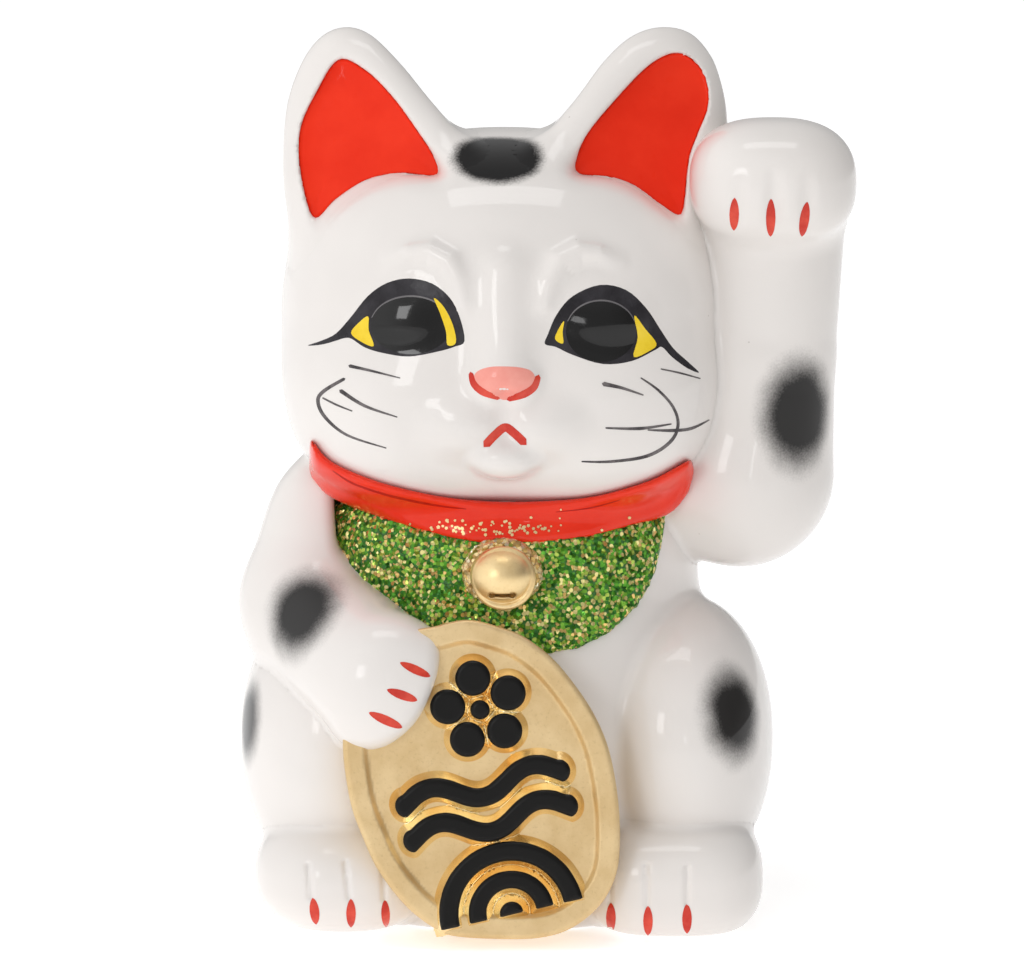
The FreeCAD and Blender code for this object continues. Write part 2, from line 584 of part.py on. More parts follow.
# ------------------------------------------------------------------ bell
bell_ball = doc.addObject("Part::Sphere", "bell_ball")
bell_ball.setExpression("Radius", "dims.bell_r")
at(bell_ball, f"{X} + dims.bell_dx", f"{Y} + dims.bell_dy", "dims.bell_z")
bell_slit = block("bell_slit", f"{X} + dims.bell_dx - 4.2", f"{Y} + dims.bell_dy - 12",
                  "dims.bell_z - 4.6", "8.4", "6.6", "dims.bell_slit")
bell_eye_a = rod("bell_eye_a", f"{X} + dims.bell_dx - 4.2", f"{Y} + dims.bell_dy - 5.4",
                 "dims.bell_z - 4.6 + dims.bell_slit / 2", "1.1", "7", R(V(1, 0, 0), 90))
bell_eye_b = rod("bell_eye_b", f"{X} + dims.bell_dx + 4.2", f"{Y} + dims.bell_dy - 5.4",
                 "dims.bell_z - 4.6 + dims.bell_slit / 2", "1.1", "7", R(V(1, 0, 0), 90))

# ------------------------------------------------------------------ bib
bib_skin = egg("bib_skin", X, Y, "dims.trunk_z", "dims.trunk_rx + dims.bib_thick",
               "dims.trunk_ry + dims.bib_thick", "dims.trunk_rz + dims.bib_thick")
# the bib's outline from the front: half an ellipse below the collar, drawn in the frontal plane
bib_outline = doc.addObject("Part::Ellipse", "bib_outline")
bib_outline.setExpression("MajorRadius", "dims.bib_half")
bib_outline.setExpression("MinorRadius", "dims.collar_z - dims.bib_low")
at(bib_outline, f"{X} + 0.6", Y, "dims.collar_z", R(V(1, 0, 0), 90))
bib_prism = doc.addObject("Part::Extrusion", "bib_prism")
bib_prism.Base = bib_outline
bib_prism.DirMode = "Custom"
bib_prism.Dir = V(0, -1, 0)
bib_prism.Solid = True
bib_prism.LengthFwd = 60
bib_patch = common("bib_patch", bib_skin, bib_prism)
bib_tools = fuse("bib_tools", castings, collar_torus, lowered_raw, raised_raw, coin_prism)
bib = cut("bib", bib_patch, bib_tools)
bib.Label = "bib"

bell_tools = fuse("bell_tools", castings, collar_torus, bib_patch, bell_slit, bell_eye_a, bell_eye_b)
bell = cut("bell", bell_ball, bell_tools)
bell.Label = "bell"

# ------------------------------------------------------------------ stopper
stopper = doc.addObject("PartDesign::Body", "stopper")
profile = sketch_on(stopper, "XZ_Plane", "stopper_profile")
# half section: flange below, plug above, a thumb recess from below
P = [(0, 6.0), (7.5, 6.0), (7.5, d("flange_low")), (d("flange_r"), d("flange_low")),
     (d("flange_r"), d("seat_deep") - 0.1), (d("plug_r"), d("seat_deep") - 0.1),
     (d("plug_r"), d("plug_top") - 1.2), (d("plug_r") - 1.2, d("plug_top")), (0, d("plug_top"))]
segs = []
for k in range(len(P)):
    a, b = P[k], P[(k + 1) % len(P)]
    segs.append(profile.addGeometry(Part.LineSegment(V(a[0], a[1], 0), V(b[0], b[1], 0)), False))
for k in range(len(segs)):
    profile.addConstraint(Sketcher.Constraint("Coincident", segs[k], 2, segs[(k + 1) % len(segs)], 1))
for k in (0, 2, 4, 7):
    profile.addConstraint(Sketcher.Constraint("Horizontal", segs[k]))
for k in (1, 3, 5, 8):
    profile.addConstraint(Sketcher.Constraint("Vertical", segs[k]))
profile.addConstraint(Sketcher.Constraint("PointOnObject", segs[0], 1, -2))
for args, kind, value, text in (
    ((-1, 1, segs[3], 1), "DistanceX", d("flange_r"), "dims.flange_r"),
    ((-1, 1, segs[5], 1), "DistanceX", d("plug_r"), "dims.plug_r"),
    ((-1, 1, segs[1], 1), "DistanceX", 7.5, "7.5"),
    ((-1, 1, segs[6], 2), "DistanceX", d("plug_r") - 1.2, "dims.plug_r - 1.2"),
    ((-1, 1, segs[3], 1), "DistanceY", d("flange_low"), "dims.flange_low"),
    ((-1, 1, segs[5], 1), "DistanceY", d("seat_deep") - 0.1, "dims.seat_deep - 0.1"),
    ((-1, 1, segs[0], 1), "DistanceY", 6.0, "6"),
    ((-1, 1, segs[6], 1), "DistanceY", d("plug_top") - 1.2, "dims.plug_top - 1.2"),
    ((-1, 1, segs[7], 1), "DistanceY", d("plug_top"), "dims.plug_top"),
):
    n = profile.addConstraint(Sketcher.Constraint(kind, *args, value))
    profile.setExpression(f"Constraints[{n}]", text)
doc.recompute()
turned = stopper.newObject("PartDesign::Revolution", "stopper_turned")
turned.Profile = profile
turned.ReferenceAxis = (profile, ["V_Axis"])
turned.Angle = 360
stopper.Tip = turned
doc.recompute()
grip_sketch = sketch_on(stopper, "XY_Plane", "stopper_grip_plan")
grip_sketch.AttachmentOffset = FreeCAD.Placement(V(0, 0, 1.8), R())
gp = [V(-7.9, -1.5, 0), V(7.9, -1.5, 0), V(7.9, 1.5, 0), V(-7.9, 1.5, 0)]
gs = [grip_sketch.addGeometry(Part.LineSegment(gp[k], gp[(k + 1) % 4]), False) for k in range(4)]
for k in range(4):
    grip_sketch.addConstraint(Sketcher.Constraint("Coincident", gs[k], 2, gs[(k + 1) % 4], 1))
for k in (0, 2):
    grip_sketch.addConstraint(Sketcher.Constraint("Horizontal", gs[k]))
for k in (1, 3):
    grip_sketch.addConstraint(Sketcher.Constraint("Vertical", gs[k]))
grip_sketch.addConstraint(Sketcher.Constraint("Symmetric", gs[0], 1, gs[1], 2, -1, 1))
n = grip_sketch.addConstraint(Sketcher.Constraint("DistanceX", gs[0], 1, gs[0], 2, 15.8))
n = grip_sketch.addConstraint(Sketcher.Constraint("DistanceY", gs[1], 1, gs[1], 2, 3.0))
doc.recompute()
grip = stopper.newObject("PartDesign::Pad", "stopper_grip")
grip.Profile = grip_sketch
grip.Length = 2.6
stopper.Tip = grip
at(stopper, X, Y, "0")
stopper.Label = "stopper"

doc.recompute()

# ------------------------------------------------------------------ checks and files
NODES = ["torso", "head", "left_ear", "right_ear", "raised_arm", "lowered_arm", "left_foot", "right_foot",
         "tail", "oval_coin", "coin_crest", "collar", "bib", "bell", "stopper"]
problems = []
for obj in doc.Objects:
    if "Invalid" in obj.State or "Error" in obj.State:
        problems.append(f"{obj.Name}: {obj.State}")
os.makedirs("parts", exist_ok=True)
shapes = {}
for name in NODES:
    obj = doc.getObjectsByLabel(name)[0]
    shape = obj.Shape
    if shape.isNull() or not shape.isValid() or not shape.Solids:
        problems.append(f"{name}: no valid solid")
        continue
    # splinters left where two curved faces graze each other aren't part of the piece
    solids = sorted(shape.Solids, key=lambda s: -s.Volume)
    keep = [s for s in solids if s.Volume > (1.0 if name == "coin_crest" else 0.03 * solids[0].Volume)]
    shapes[name] = keep[0] if len(keep) == 1 else Part.makeCompound(keep)
    bb = shapes[name].optimalBoundingBox(False)
    print(f"{name:12s} solids {len(keep)} of {len(solids)}  volume {sum(s.Volume for s in keep):9.1f}  "
          f"x {bb.XMin:7.2f} {bb.XMax:7.2f}  y {bb.YMin:7.2f} {bb.YMax:7.2f}  z {bb.ZMin:7.2f} {bb.ZMax:7.2f}")
if problems:
    raise SystemExit("\n".join(problems))
for name, shape in shapes.items():
    shape.exportStep(f"parts/{name}.step")
box = FreeCAD.BoundBox()
for s in shapes.values():
    box.add(s.optimalBoundingBox(False))
print("overall", box)
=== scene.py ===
import json
import bpy
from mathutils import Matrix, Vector
from mathutils.geometry import delaunay_2d_cdt

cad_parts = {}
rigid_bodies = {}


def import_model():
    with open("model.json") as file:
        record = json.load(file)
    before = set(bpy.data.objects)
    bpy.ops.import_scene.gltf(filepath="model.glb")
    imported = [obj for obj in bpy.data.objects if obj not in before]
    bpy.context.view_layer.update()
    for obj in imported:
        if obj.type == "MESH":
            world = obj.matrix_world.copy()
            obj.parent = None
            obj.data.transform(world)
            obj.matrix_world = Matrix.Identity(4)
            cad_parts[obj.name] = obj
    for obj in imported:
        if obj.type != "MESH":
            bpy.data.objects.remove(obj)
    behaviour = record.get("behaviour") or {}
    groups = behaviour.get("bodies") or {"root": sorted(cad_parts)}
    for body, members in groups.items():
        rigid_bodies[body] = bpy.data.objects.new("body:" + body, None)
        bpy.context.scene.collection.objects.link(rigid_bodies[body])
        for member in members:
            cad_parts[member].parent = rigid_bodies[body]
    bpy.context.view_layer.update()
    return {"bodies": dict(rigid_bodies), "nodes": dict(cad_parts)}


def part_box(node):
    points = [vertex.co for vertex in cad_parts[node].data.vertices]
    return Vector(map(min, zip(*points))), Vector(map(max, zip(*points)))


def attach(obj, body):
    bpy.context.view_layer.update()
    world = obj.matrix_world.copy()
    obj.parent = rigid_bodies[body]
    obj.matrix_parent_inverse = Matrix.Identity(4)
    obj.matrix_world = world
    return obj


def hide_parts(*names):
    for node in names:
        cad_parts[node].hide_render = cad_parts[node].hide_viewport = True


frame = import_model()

BODY = next(b for b in frame["bodies"] if b != "stopper")

import math
import numpy as np

# All shapes are implicit fields in millimetres, in the cat's own frame: x to the
# side of the raised paw, y to the back, z up, with the trunk's axis at x = y = 0.

# The main camera, which the painted outlines are laid out in.
CAM_EL = math.radians(10.0)
CAM_D = 1200.0
CAM_TARGET = np.array([1.0, -2.46, 84.8])
CAM_FWD = np.array([0.0, math.cos(CAM_EL), -math.sin(CAM_EL)])
CAM_UP = np.array([0.0, math.sin(CAM_EL), math.cos(CAM_EL)])
CAM_POS = CAM_TARGET - CAM_FWD * CAM_D
MM = 0.2


def view_uv(P):
    """Where points fall in the front view, in view units (5 to the millimetre), x right and y down."""
    rel = P - CAM_TARGET
    depth = CAM_D + rel @ CAM_FWD
    s = CAM_D / depth / MM
    return 512.0 + rel[..., 0] * s, 477.5 - (rel @ CAM_UP) * s, depth / CAM_D * MM


def view_ray(px, py):
    """Directions of the lines of sight through points of the front view."""
    px, py = np.asarray(px, float), np.asarray(py, float)
    d = (CAM_FWD * CAM_D + np.stack([(px - 512.0) * MM, 0 * px, 0 * px], -1)
         + ((477.5 - py) * MM)[..., None] * CAM_UP)
    return d / np.linalg.norm(d, axis=-1, keepdims=True)


# ---------------------------------------------------------------- fields
def smin(a, b, k):
    h = np.maximum(k - np.abs(a - b), 0.0)
    return np.minimum(a, b) - h * h * (0.25 / k)


def smax(a, b, k):
    h = np.maximum(k - np.abs(a - b), 0.0)
    return np.maximum(a, b) + h * h * (0.25 / k)


def spin(P, c, rx=0.0, ry=0.0, rz=0.0):
    """Points in a frame centred at c and turned by degrees about x, then y, then z."""
    Q = P - np.asarray(c, P.dtype)
    for ang, (i, j) in ((rz, (0, 1)), (ry, (2, 0)), (rx, (1, 2))):
        if ang:
            t = math.radians(ang)
            a, b = Q[..., i].copy(), Q[..., j].copy()
            Q = Q.copy()
            Q[..., i], Q[..., j] = a * math.cos(t) + b * math.sin(t), -a * math.sin(t) + b * math.cos(t)
    return Q


def egg(P, c, r, n=2.0, rx=0.0, ry=0.0, rz=0.0):
    """An ellipsoid, or with n over 2 a squarer one."""
    Q = spin(P, c, rx, ry, rz) if (rx or ry or rz) else P - np.asarray(c, P.dtype)
    r = np.asarray(r, P.dtype)
    if n == 2.0:
        a = Q / r
        k0 = np.sqrt((a * a).sum(-1)) + 1e-6
        b = a / r
        k1 = np.sqrt((b * b).sum(-1)) + 1e-9
        return k0 * (k0 - 1.0) / k1
    a = np.abs(Q / r) + 1e-6
    s = (a ** n).sum(-1)
    k0 = s ** (1.0 / n)
    g = a ** (n - 1.0) / r
    k1 = np.sqrt((g * g).sum(-1)) * k0 ** (1.0 - n)
    return (k0 - 1.0) / (k1 + 1e-9)


def limb(P, a, b, ra, rb):
    """A tapering rod with round ends."""
    a, b = np.asarray(a, P.dtype), np.asarray(b, P.dtype)
    ab = b - a
    L = float(np.sqrt((ab * ab).sum()))
    Q = P - a
    t = Q @ (ab / L)
    rad = np.sqrt(np.maximum((Q * Q).sum(-1) - t * t, 0.0))
    s = (ra - rb) / L
    c = math.sqrt(max(1.0 - s * s, 1e-9))
    d_cone = rad * c + t * s - ra
    d_a = np.sqrt(t * t + rad * rad) - ra
    d_b = np.sqrt((t - L) ** 2 + rad * rad) - rb
    return np.where(t * c - rad * s < 0, d_a, np.where((t - L) * c - rad * s > 0, d_b, d_cone))


def tube(P, pts, rs):
    """A bent rod through several points."""
    d = None
    for i in range(len(pts) - 1):
        e = limb(P, pts[i], pts[i + 1], rs[i], rs[i + 1])
        d = e if d is None else np.minimum(d, e)
    return d


def curve(pts, n=8, closed=True):
    """A smooth curve through points."""
    p = np.asarray(pts, float)
    m = len(p)
    out = []
    for i in range(m if closed else m - 1):
        if closed:
            p0, p1, p2, p3 = p[(i - 1) % m], p[i], p[(i + 1) % m], p[(i + 2) % m]
        else:
            p0, p1, p2, p3 = p[max(i - 1, 0)], p[i], p[i + 1], p[min(i + 2, m - 1)]
        for t in np.arange(n) / n:
            out.append(0.5 * (2 * p1 + (p2 - p0) * t + (2 * p0 - 5 * p1 + 4 * p2 - p3) * t * t
                              + (3 * p1 - p0 - 3 * p2 + p3) * t ** 3))
    if not closed:
        out.append(p[-1])
    return np.array(out)


def outline_dist(x, y, poly):
    """Signed distance to a closed outline, negative inside."""
    shape = x.shape
    x, y = x.ravel(), y.ravel()
    best = np.full(x.shape, 1e9, x.dtype)
    inside = np.zeros(x.shape, bool)
    n = len(poly)
    for i in range(n):
        ax, ay = poly[i]
        bx, by = poly[(i + 1) % n]
        ex, ey = bx - ax, by - ay
        wx, wy = x - ax, y - ay
        t = np.clip((wx * ex + wy * ey) / (ex * ex + ey * ey + 1e-12), 0, 1)
        dx, dy = wx - ex * t, wy - ey * t
        best = np.minimum(best, dx * dx + dy * dy)
        if ay != by:
            cross = ((ay > y) != (by > y)) & (x < ex * (y - ay) / ey + ax)
            inside ^= cross
    d = np.sqrt(best)
    return np.where(inside, -d, d).reshape(shape)


def seen_outline(P, poly):
    """Distance in millimetres to the cone of sight through an outline of the front view."""
    u, v, s = view_uv(P)
    return outline_dist(u, v, poly) * s


def round_join(d2, dy, r):
    """The rounded corner between an outline's wall and a face."""
    a, b = np.maximum(d2 + r, 0.0), np.maximum(dy + r, 0.0)
    return np.minimum(np.maximum(d2, dy) + r, 0.0) + np.sqrt(a * a + b * b) - r


def torus(P, c, R, r, rx=0.0):
    Q = spin(P, c, rx)
    q = np.sqrt(Q[..., 0] ** 2 + Q[..., 1] ** 2) - R
    return np.sqrt(q * q + Q[..., 2] ** 2) - r


# ---------------------------------------------------------------- meshing
def sample(f, lo, hi, h):
    """The field on a grid. Blocks of the grid that lie far from the zero level are given their sign only."""
    ax = [np.arange(lo[i], hi[i] + h, h, dtype=np.float32) for i in range(3)]
    n = [len(a) for a in ax]
    b = 4
    nb = [-(-k // b) for k in n]
    mid = [float(ax[i][0]) + (np.arange(nb[i]) * b + (b - 1) / 2) * h for i in range(3)]
    C = f(np.stack(np.meshgrid(*mid, indexing="ij"), -1))
    g = np.where(C < 0, -50.0, 50.0).astype(np.float32)
    for i in range(3):
        g = np.repeat(g, b, axis=i)
    near = np.argwhere(np.abs(C) < 9.0 * h)
    o = np.stack(np.meshgrid(*[np.arange(b)] * 3, indexing="ij"), -1).reshape(-1, 3)
    start = np.array([float(a[0]) for a in ax])
    for i in range(0, len(near), 6000):
        ijk = (near[i:i + 6000, None, :] * b + o[None]).reshape(-1, 3)
        g[ijk[:, 0], ijk[:, 1], ijk[:, 2]] = f((start + ijk * h).astype(np.float32))
    return ax, g[:n[0], :n[1], :n[2]]


def nets(f, lo, hi, h, steps=3):
    """A closed quad skin of the field's zero level; returns vertices and faces."""
    ax, g = sample(f, lo, hi, h)
    g[0], g[-1] = np.maximum(g[0], 0.01), np.maximum(g[-1], 0.01)
    g[:, 0], g[:, -1] = np.maximum(g[:, 0], 0.01), np.maximum(g[:, -1], 0.01)
    g[:, :, 0], g[:, :, -1] = np.maximum(g[:, :, 0], 0.01), np.maximum(g[:, :, -1], 0.01)
    s = g < 0
    c = s[:-1, :-1, :-1].astype(np.int8)
    for dx, dy, dz in ((1, 0, 0), (0, 1, 0), (0, 0, 1), (1, 1, 0), (1, 0, 1), (0, 1, 1), (1, 1, 1)):
        c += s[dx:dx + c.shape[0], dy:dy + c.shape[1], dz:dz + c.shape[2]]
    act = (c > 0) & (c < 8)
    I, J, K = np.nonzero(act)
    idx = np.full(c.shape, -1, np.int32)
    idx[I, J, K] = np.arange(len(I))
    acc = np.zeros((len(I), 3))
    cnt = np.zeros(len(I))
    corners = [(0, 0, 0), (1, 0, 0), (0, 1, 0), (1, 1, 0), (0, 0, 1), (1, 0, 1), (0, 1, 1), (1, 1, 1)]
    vals = [g[I + a, J + b, K + d] for a, b, d in corners]
    for m in range(8):
        for bit in (1, 2, 4):
            q = m | bit
            if q == m:
                continue
            va, vb = vals[m], vals[q]
            cr = (va < 0) != (vb < 0)
            t = np.where(cr, va / np.where(cr, va - vb, 1.0), 0.0)
            pa = np.array(corners[m], float)
            pb = np.array(corners[q], float)
            acc += np.where(cr[:, None], pa + (pb - pa) * t[:, None], 0.0)
            cnt += cr
    acc /= cnt[:, None]
    V = (np.stack([I, J, K], -1) + acc) * h + np.array([ax[0][0], ax[1][0], ax[2][0]], float)
    F = []
    for axis in range(3):
        sl0, sl1 = [slice(None)] * 3, [slice(None)] * 3
        sl0[axis], sl1[axis] = slice(0, -1), slice(1, None)
        e0, e1 = s[tuple(sl0)], s[tuple(sl1)]
        cr = e0 != e1
        o = [k for k in range(3) if k != axis]
        inner = [slice(None)] * 3
        inner[o[0]], inner[o[1]] = slice(1, -1), slice(1, -1)
        A = np.array(np.nonzero(cr[tuple(inner)]))
        A[o[0]] += 1
        A[o[1]] += 1
        flip = e0[tuple(A)]
        quad = []
        for d0, d1 in ((-1, -1), (0, -1), (0, 0), (-1, 0)):
            B = A.copy()
            B[o[0]] += d0
            B[o[1]] += d1
            quad.append(idx[tuple(B)])
        Q = np.stack(quad, -1)
        if axis == 1:
            flip = ~flip
        Q[~flip] = Q[~flip][:, ::-1]
        F.append(Q)
    F = np.concatenate(F)
    F = F[(F >= 0).all(1)]
    for _ in range(steps):
        d = f(V)
        n = gradient(f, V, 0.02)
        V = V - np.clip(d, -0.6 * h, 0.6 * h)[:, None] * n
    return V, F


def gradient(f, V, e=0.05, unit=True):
    n = np.empty(V.shape)
    for k in range(3):
        dv = np.zeros(3)
        dv[k] = e
        n[:, k] = (f(V + dv) - f(V - dv)) / (2 * e)
    if unit:
        n /= np.linalg.norm(n, axis=1, keepdims=True) + 1e-12
    return n


def cast(f, px, py, near=1080.0, far=1290.0, steps=110):
    """First points where the lines of sight meet a field."""
    d = view_ray(px, py)
    t = np.full(d.shape[:-1], near)
    for _ in range(steps):
        v = f(CAM_POS + d * t[..., None])
        t = np.minimum(t + v * 0.7, far)
    return CAM_POS + d * t[..., None]


# ---------------------------------------------------------------- the cat's forms
EAR_L_OUT = curve([(318, 275), (296, 245), (286, 205), (283, 159), (287, 105), (302, 62), (322, 36), (346, 27), (371, 35), (400, 63), (427, 96),
                   (452, 126), (480, 165), (470, 220), (390, 265)], 6)
EAR_R_OUT = curve([(524, 165), (555, 124), (578, 96), (605, 60), (632, 36), (661, 27), (690, 33), (711, 56), (722, 86), (727, 116),
                   (727, 155), (716, 195), (702, 228), (686, 255), (640, 262), (540, 225)], 6)
EAR_L_RED = curve([(338, 60), (316, 93), (301, 126), (299, 159), (306, 199), (316, 218), (336, 199), (366, 180), (400, 173), (436, 175), (434, 157),
                   (419, 133), (392, 96), (364, 69)], 6)
EAR_R_RED = curve([(674, 53), (648, 66), (615, 100), (588, 133), (577, 157), (578, 173), (611, 177), (635, 186), (660, 204), (680, 215), (685, 196),
                   (689, 159), (698, 133), (708, 106), (706, 80), (693, 60)], 6)
COIN_OUT = curve([(436, 626), (455, 621), (473, 620), (497, 626), (523, 636), (550, 656), (572, 681), (594, 714), (609, 750),
                  (618, 798), (620, 842), (616, 875), (601, 904), (572, 928), (539, 938), (495, 939), (453, 936), (434, 928),
                  (411, 911), (392, 890), (375, 865), (363, 838), (353, 812), (347, 785), (343, 752), (344, 720), (352, 690),
                  (366, 662), (386, 642), (410, 631)], 5)
BIB_OUT = curve([(331, 493), (329, 510), (330, 546), (343, 585), (372, 618), (415, 640), (470, 652), (525, 655), (568, 650), (595, 640), (621, 622),
                 (646, 593), (659, 555), (664, 525), (664, 511), (621, 525), (581, 534), (528, 539), (474, 538), (420, 526), (370, 509)], 5)

ARM_OUT = curve([(330, 436), (306, 447), (296, 460), (283, 475), (271, 490), (260, 505), (253, 520), (248, 535), (242, 550), (239, 572), (238, 592),
                 (241, 613), (247, 635), (256, 656), (290, 691), (322, 717), (342, 749), (374, 749), (411, 723), (431, 684), (438, 650),
                 (440, 614), (405, 597), (378, 584), (350, 562), (336, 546), (332, 520), (332, 490), (340, 455)], 4)
COLLAR_OUT = curve([(311.5, 440), (324, 455), (340, 466), (380, 482), (434, 495), (487, 501), (541, 501), (595, 496), (648, 481), (676, 467), (690, 460),
                    (694, 470), (691, 484), (686, 496), (667, 515), (621, 530), (581, 539), (528, 544), (474, 543), (420, 531), (375, 516),
                    (332, 498), (317, 484), (310, 473), (309.5, 455)], 4)
EAR_YAW = 16.0


def torso_f(P):
    d = egg(P, (0, 0.5, 29), (42.6, 40.5, 77))
    # thighs
    for sx in (1, -1):
        th = egg(P, (sx * 34.0, -9.0, 33.5), (19.2, 31.0, 28.5), 2.15, rx=-6)
        d = smin(d, th, 2.2)
    # shoulders
    d = smin(d, egg(P, (0, -1, 74), (36, 29, 17)), 10)
    return smax(d, -P[..., 2], 1.5)


def head_f(P):
    d = egg(P, (-0.6, -2.0, 117.8), (44.3, 37.5, 37.0), 2.25)
    d = smin(d, egg(P, (-0.8, -6.0, 102.2), (41.8, 32.8, 20.7), 2.6), 7)
    for sx in (1, -1):
        d = smin(d, egg(P, (-0.6 + sx * 15, -14.0, 104.0), (23.0, 23.5, 18.0)), 9)
        # a soft fold above and inside the eye
        d = smin(d, tube(P, [(-0.5 + sx * 21.4, -32.2, 132.6), (-0.5 + sx * 18.2, -34.8, 134.8), (-0.5 + sx * 14.4, -35.6, 135.1), (-0.5 + sx * 10.8, -36.8, 133.3),
                             (-0.5 + sx * 8.6, -38.0, 129.6), (-0.5 + sx * 7.8, -38.9, 125.4)], [0.3, 0.8, 1.15, 1.2, 0.9, 0.3]), 3.6)
        # eyeball under the lids
        d = smin(d, egg(P, (-0.6 + sx * 19.3, -29.9, 120.8), (10.2, 7.3, 7.7), rz=sx * 20), 2.6)
        # whisker pad
        d = smin(d, egg(P, (-0.6 + sx * 8.2, -35.6, 101.8), (10.0, 7.6, 7.2), rz=sx * 14), 2.6)
    # nose bridge, nose and chin
    d = smin(d, tube(P, [(-0.6, -36.2, 131), (-0.6, -38.4, 119), (-0.6, -40.6, 112.3)], [1.8, 2.9, 3.6]), 7)
    d = smin(d, egg(P, (-0.6, -41.0, 110.6), (6.2, 3.6, 3.4)), 2.5)
    d = smin(d, egg(P, (-0.4, -37.4, 95.2), (7.2, 6.2, 4.4)), 2.2)
    # groove from the nose to the mouth
    d = smax(d, -limb(P, (-0.6, -44.0, 107.5), (-0.6, -43.6, 101.0), 1.4, 1.6), 2.0)
    return d


def ear_mid(P, side):
    """Distance behind the ear's middle plane, positive to the back."""
    a = math.radians(EAR_YAW * side)
    lean = math.radians(9.0)
    Q = P - np.array([side * 29.0, -3.5, 150.0])
    n = np.array([-math.sin(a) * math.cos(lean), math.cos(a) * math.cos(lean), -math.sin(lean)])
    return Q @ n


def ear_half(P):
    return np.clip(11.5 - (P[..., 2] - 140) * 0.16, 5.6, 12.5)


def ear_solid(P, side):
    return round_join(seen_outline(P, EAR_L_OUT if side < 0 else EAR_R_OUT), np.abs(ear_mid(P, side)) - ear_half(P), 5.4)


def ear_cup(P, side):
    """The dished hollow in the ear's front, open towards the face."""
    r2 = seen_outline(P, EAR_L_RED if side < 0 else EAR_R_RED)
    floor = ear_mid(P, side) + ear_half(P) - 1.6 - 0.9 * (1 - np.exp(-np.clip(-r2, 0, 30) / 2.2))
    return smax(r2, floor, 0.6)


def ear_f(P, side):
    solid, head = ear_solid(P, side), head_f(P)
    t = np.clip((solid - head + 3.0) / 5.0, 0, 1)
    return smax(smin(solid, head, 4.5), -ear_cup(P, side), 0.9 + 3.2 * t * t * (3 - 2 * t))


def head_cupped(P, side):
    return smax(head_f(P), -ear_cup(P, side), 4.1)


def raised_f(P):
    d = limb(P, (48.0, -5.5, 86.5), (50.2, -6.0, 110), 17.0, 15.0)
    d = smin(d, limb(P, (50.2, -6.0, 110), (52.4, -6.5, 136), 15.0, 14.4), 1.2)
    d = smin(d, limb(P, (45.5, -5.0, 84.5), (33, -3, 84.5), 16.4, 15.0), 5)
    paw = egg(P, (52.2, -13.5, 145.8), (16.4, 15.5, 12.4), 2.5)
    d = smin(d, paw, 4)
    for px, top, bot in ((735.5, 158, 206), (772, 164, 208), (807, 166, 208)):
        x = 1 + (px - 512) * MM * 0.985
        g = tube(P, [(x, -31.2, 158 - (top - 118) * 0.2), (x - 0.2, -30.4, 149.0 - 0 * top), (x - 0.5, -28.6, 136.5)], [0.9, 1.5, 1.7])
        d = smax(d, -g, 1.6)
    return d


def lowered_f(P):
    d = limb(P, (-33.5, -5.5, 78.5), (-39.2, -13, 59.5), 14.0, 14.2)
    d = smin(d, limb(P, (-39.2, -13, 59.5), (-26.5, -37.6, 51.5), 14.4, 13.4), 4)
    paw = egg(P, (-21.6, -41.3, 49.6), (12.4, 9.7, 13.4), 2.3, ry=24)
    d = smin(d, paw, 5)
    return smax(d, seen_outline(P, ARM_OUT) - 0.6, 3.0)


def seam(P, x0, y0, x1, y1, half=0.6):
    """A soft line's strength, from 0 to 1, along a stretch of the front view."""
    u, v, _ = view_uv(P)
    ex, ey = x1 - x0, y1 - y0
    t = np.clip(((u - x0) * ex + (v - y0) * ey) / (ex * ex + ey * ey), 0, 1)
    r2 = ((u - x0 - t * ex) ** 2 + (v - y0 - t * ey) ** 2) * MM * MM
    return np.exp(-r2 / (half * half)) * (P[..., 1] < -20)


TOES = {-1: ((308, 866, 311, 897), (345, 863, 349, 897), (383, 868, 384, 898)),
        1: ((609, 870, 610, 902), (646, 866, 647, 904), (687, 868, 687, 903))}


def foot_f(P, side):
    if side < 0:
        d = egg(P, (-32.2, -27.2, 10.3), (17.6, 18.6, 11.6), 2.35)
    else:
        d = egg(P, (32.7, -27.2, 9.6), (17.9, 18.6, 12.2), 2.7)
    for line in TOES[side]:
        d = d + 0.5 * seam(P, *line)
    return smax(d, -P[..., 2], 1.2)


COIN_C = np.array([-4.6, -46.6, 31.0])
_l = math.radians(5.0)
COIN_N = np.array([0.0, -math.cos(_l), math.sin(_l)])
_r = math.radians(13.0)
COIN_UP0 = np.array([0.0, math.sin(_l), math.cos(_l)])
COIN_W = COIN_UP0 * math.cos(_r) + np.array([-1.0, 0, 0]) * math.sin(_r)
COIN_U = np.array([1.0, 0, 0]) * math.cos(_r) + COIN_UP0 * math.sin(_r)


def coin_h(P):
    """Height in front of the coin's face plane."""
    return (P - COIN_C) @ COIN_N


def coin_f(P):
    d2 = seen_outline(P, COIN_OUT)
    h = coin_h(P)
    # a broad raised rim round a flat field
    rim = np.clip((d2 + 5.0) / 1.3, 0, 1)
    rim = rim * rim * (3 - 2 * rim)
    front = h - 1.15 * rim - 0.05
    d = round_join(d2, front, 1.0)
    d = smax(d, -(h + 17.0), 0.5)
    return smax(d, -P[..., 2], 1.6)


def body_f(P):
    """The body round the neck, smoothed over for the collar to lie on."""
    return smin(smin(smin(torso_f(P), lowered_f(P), 9.0), raised_f(P), 9.0), head_f(P), 5.0)


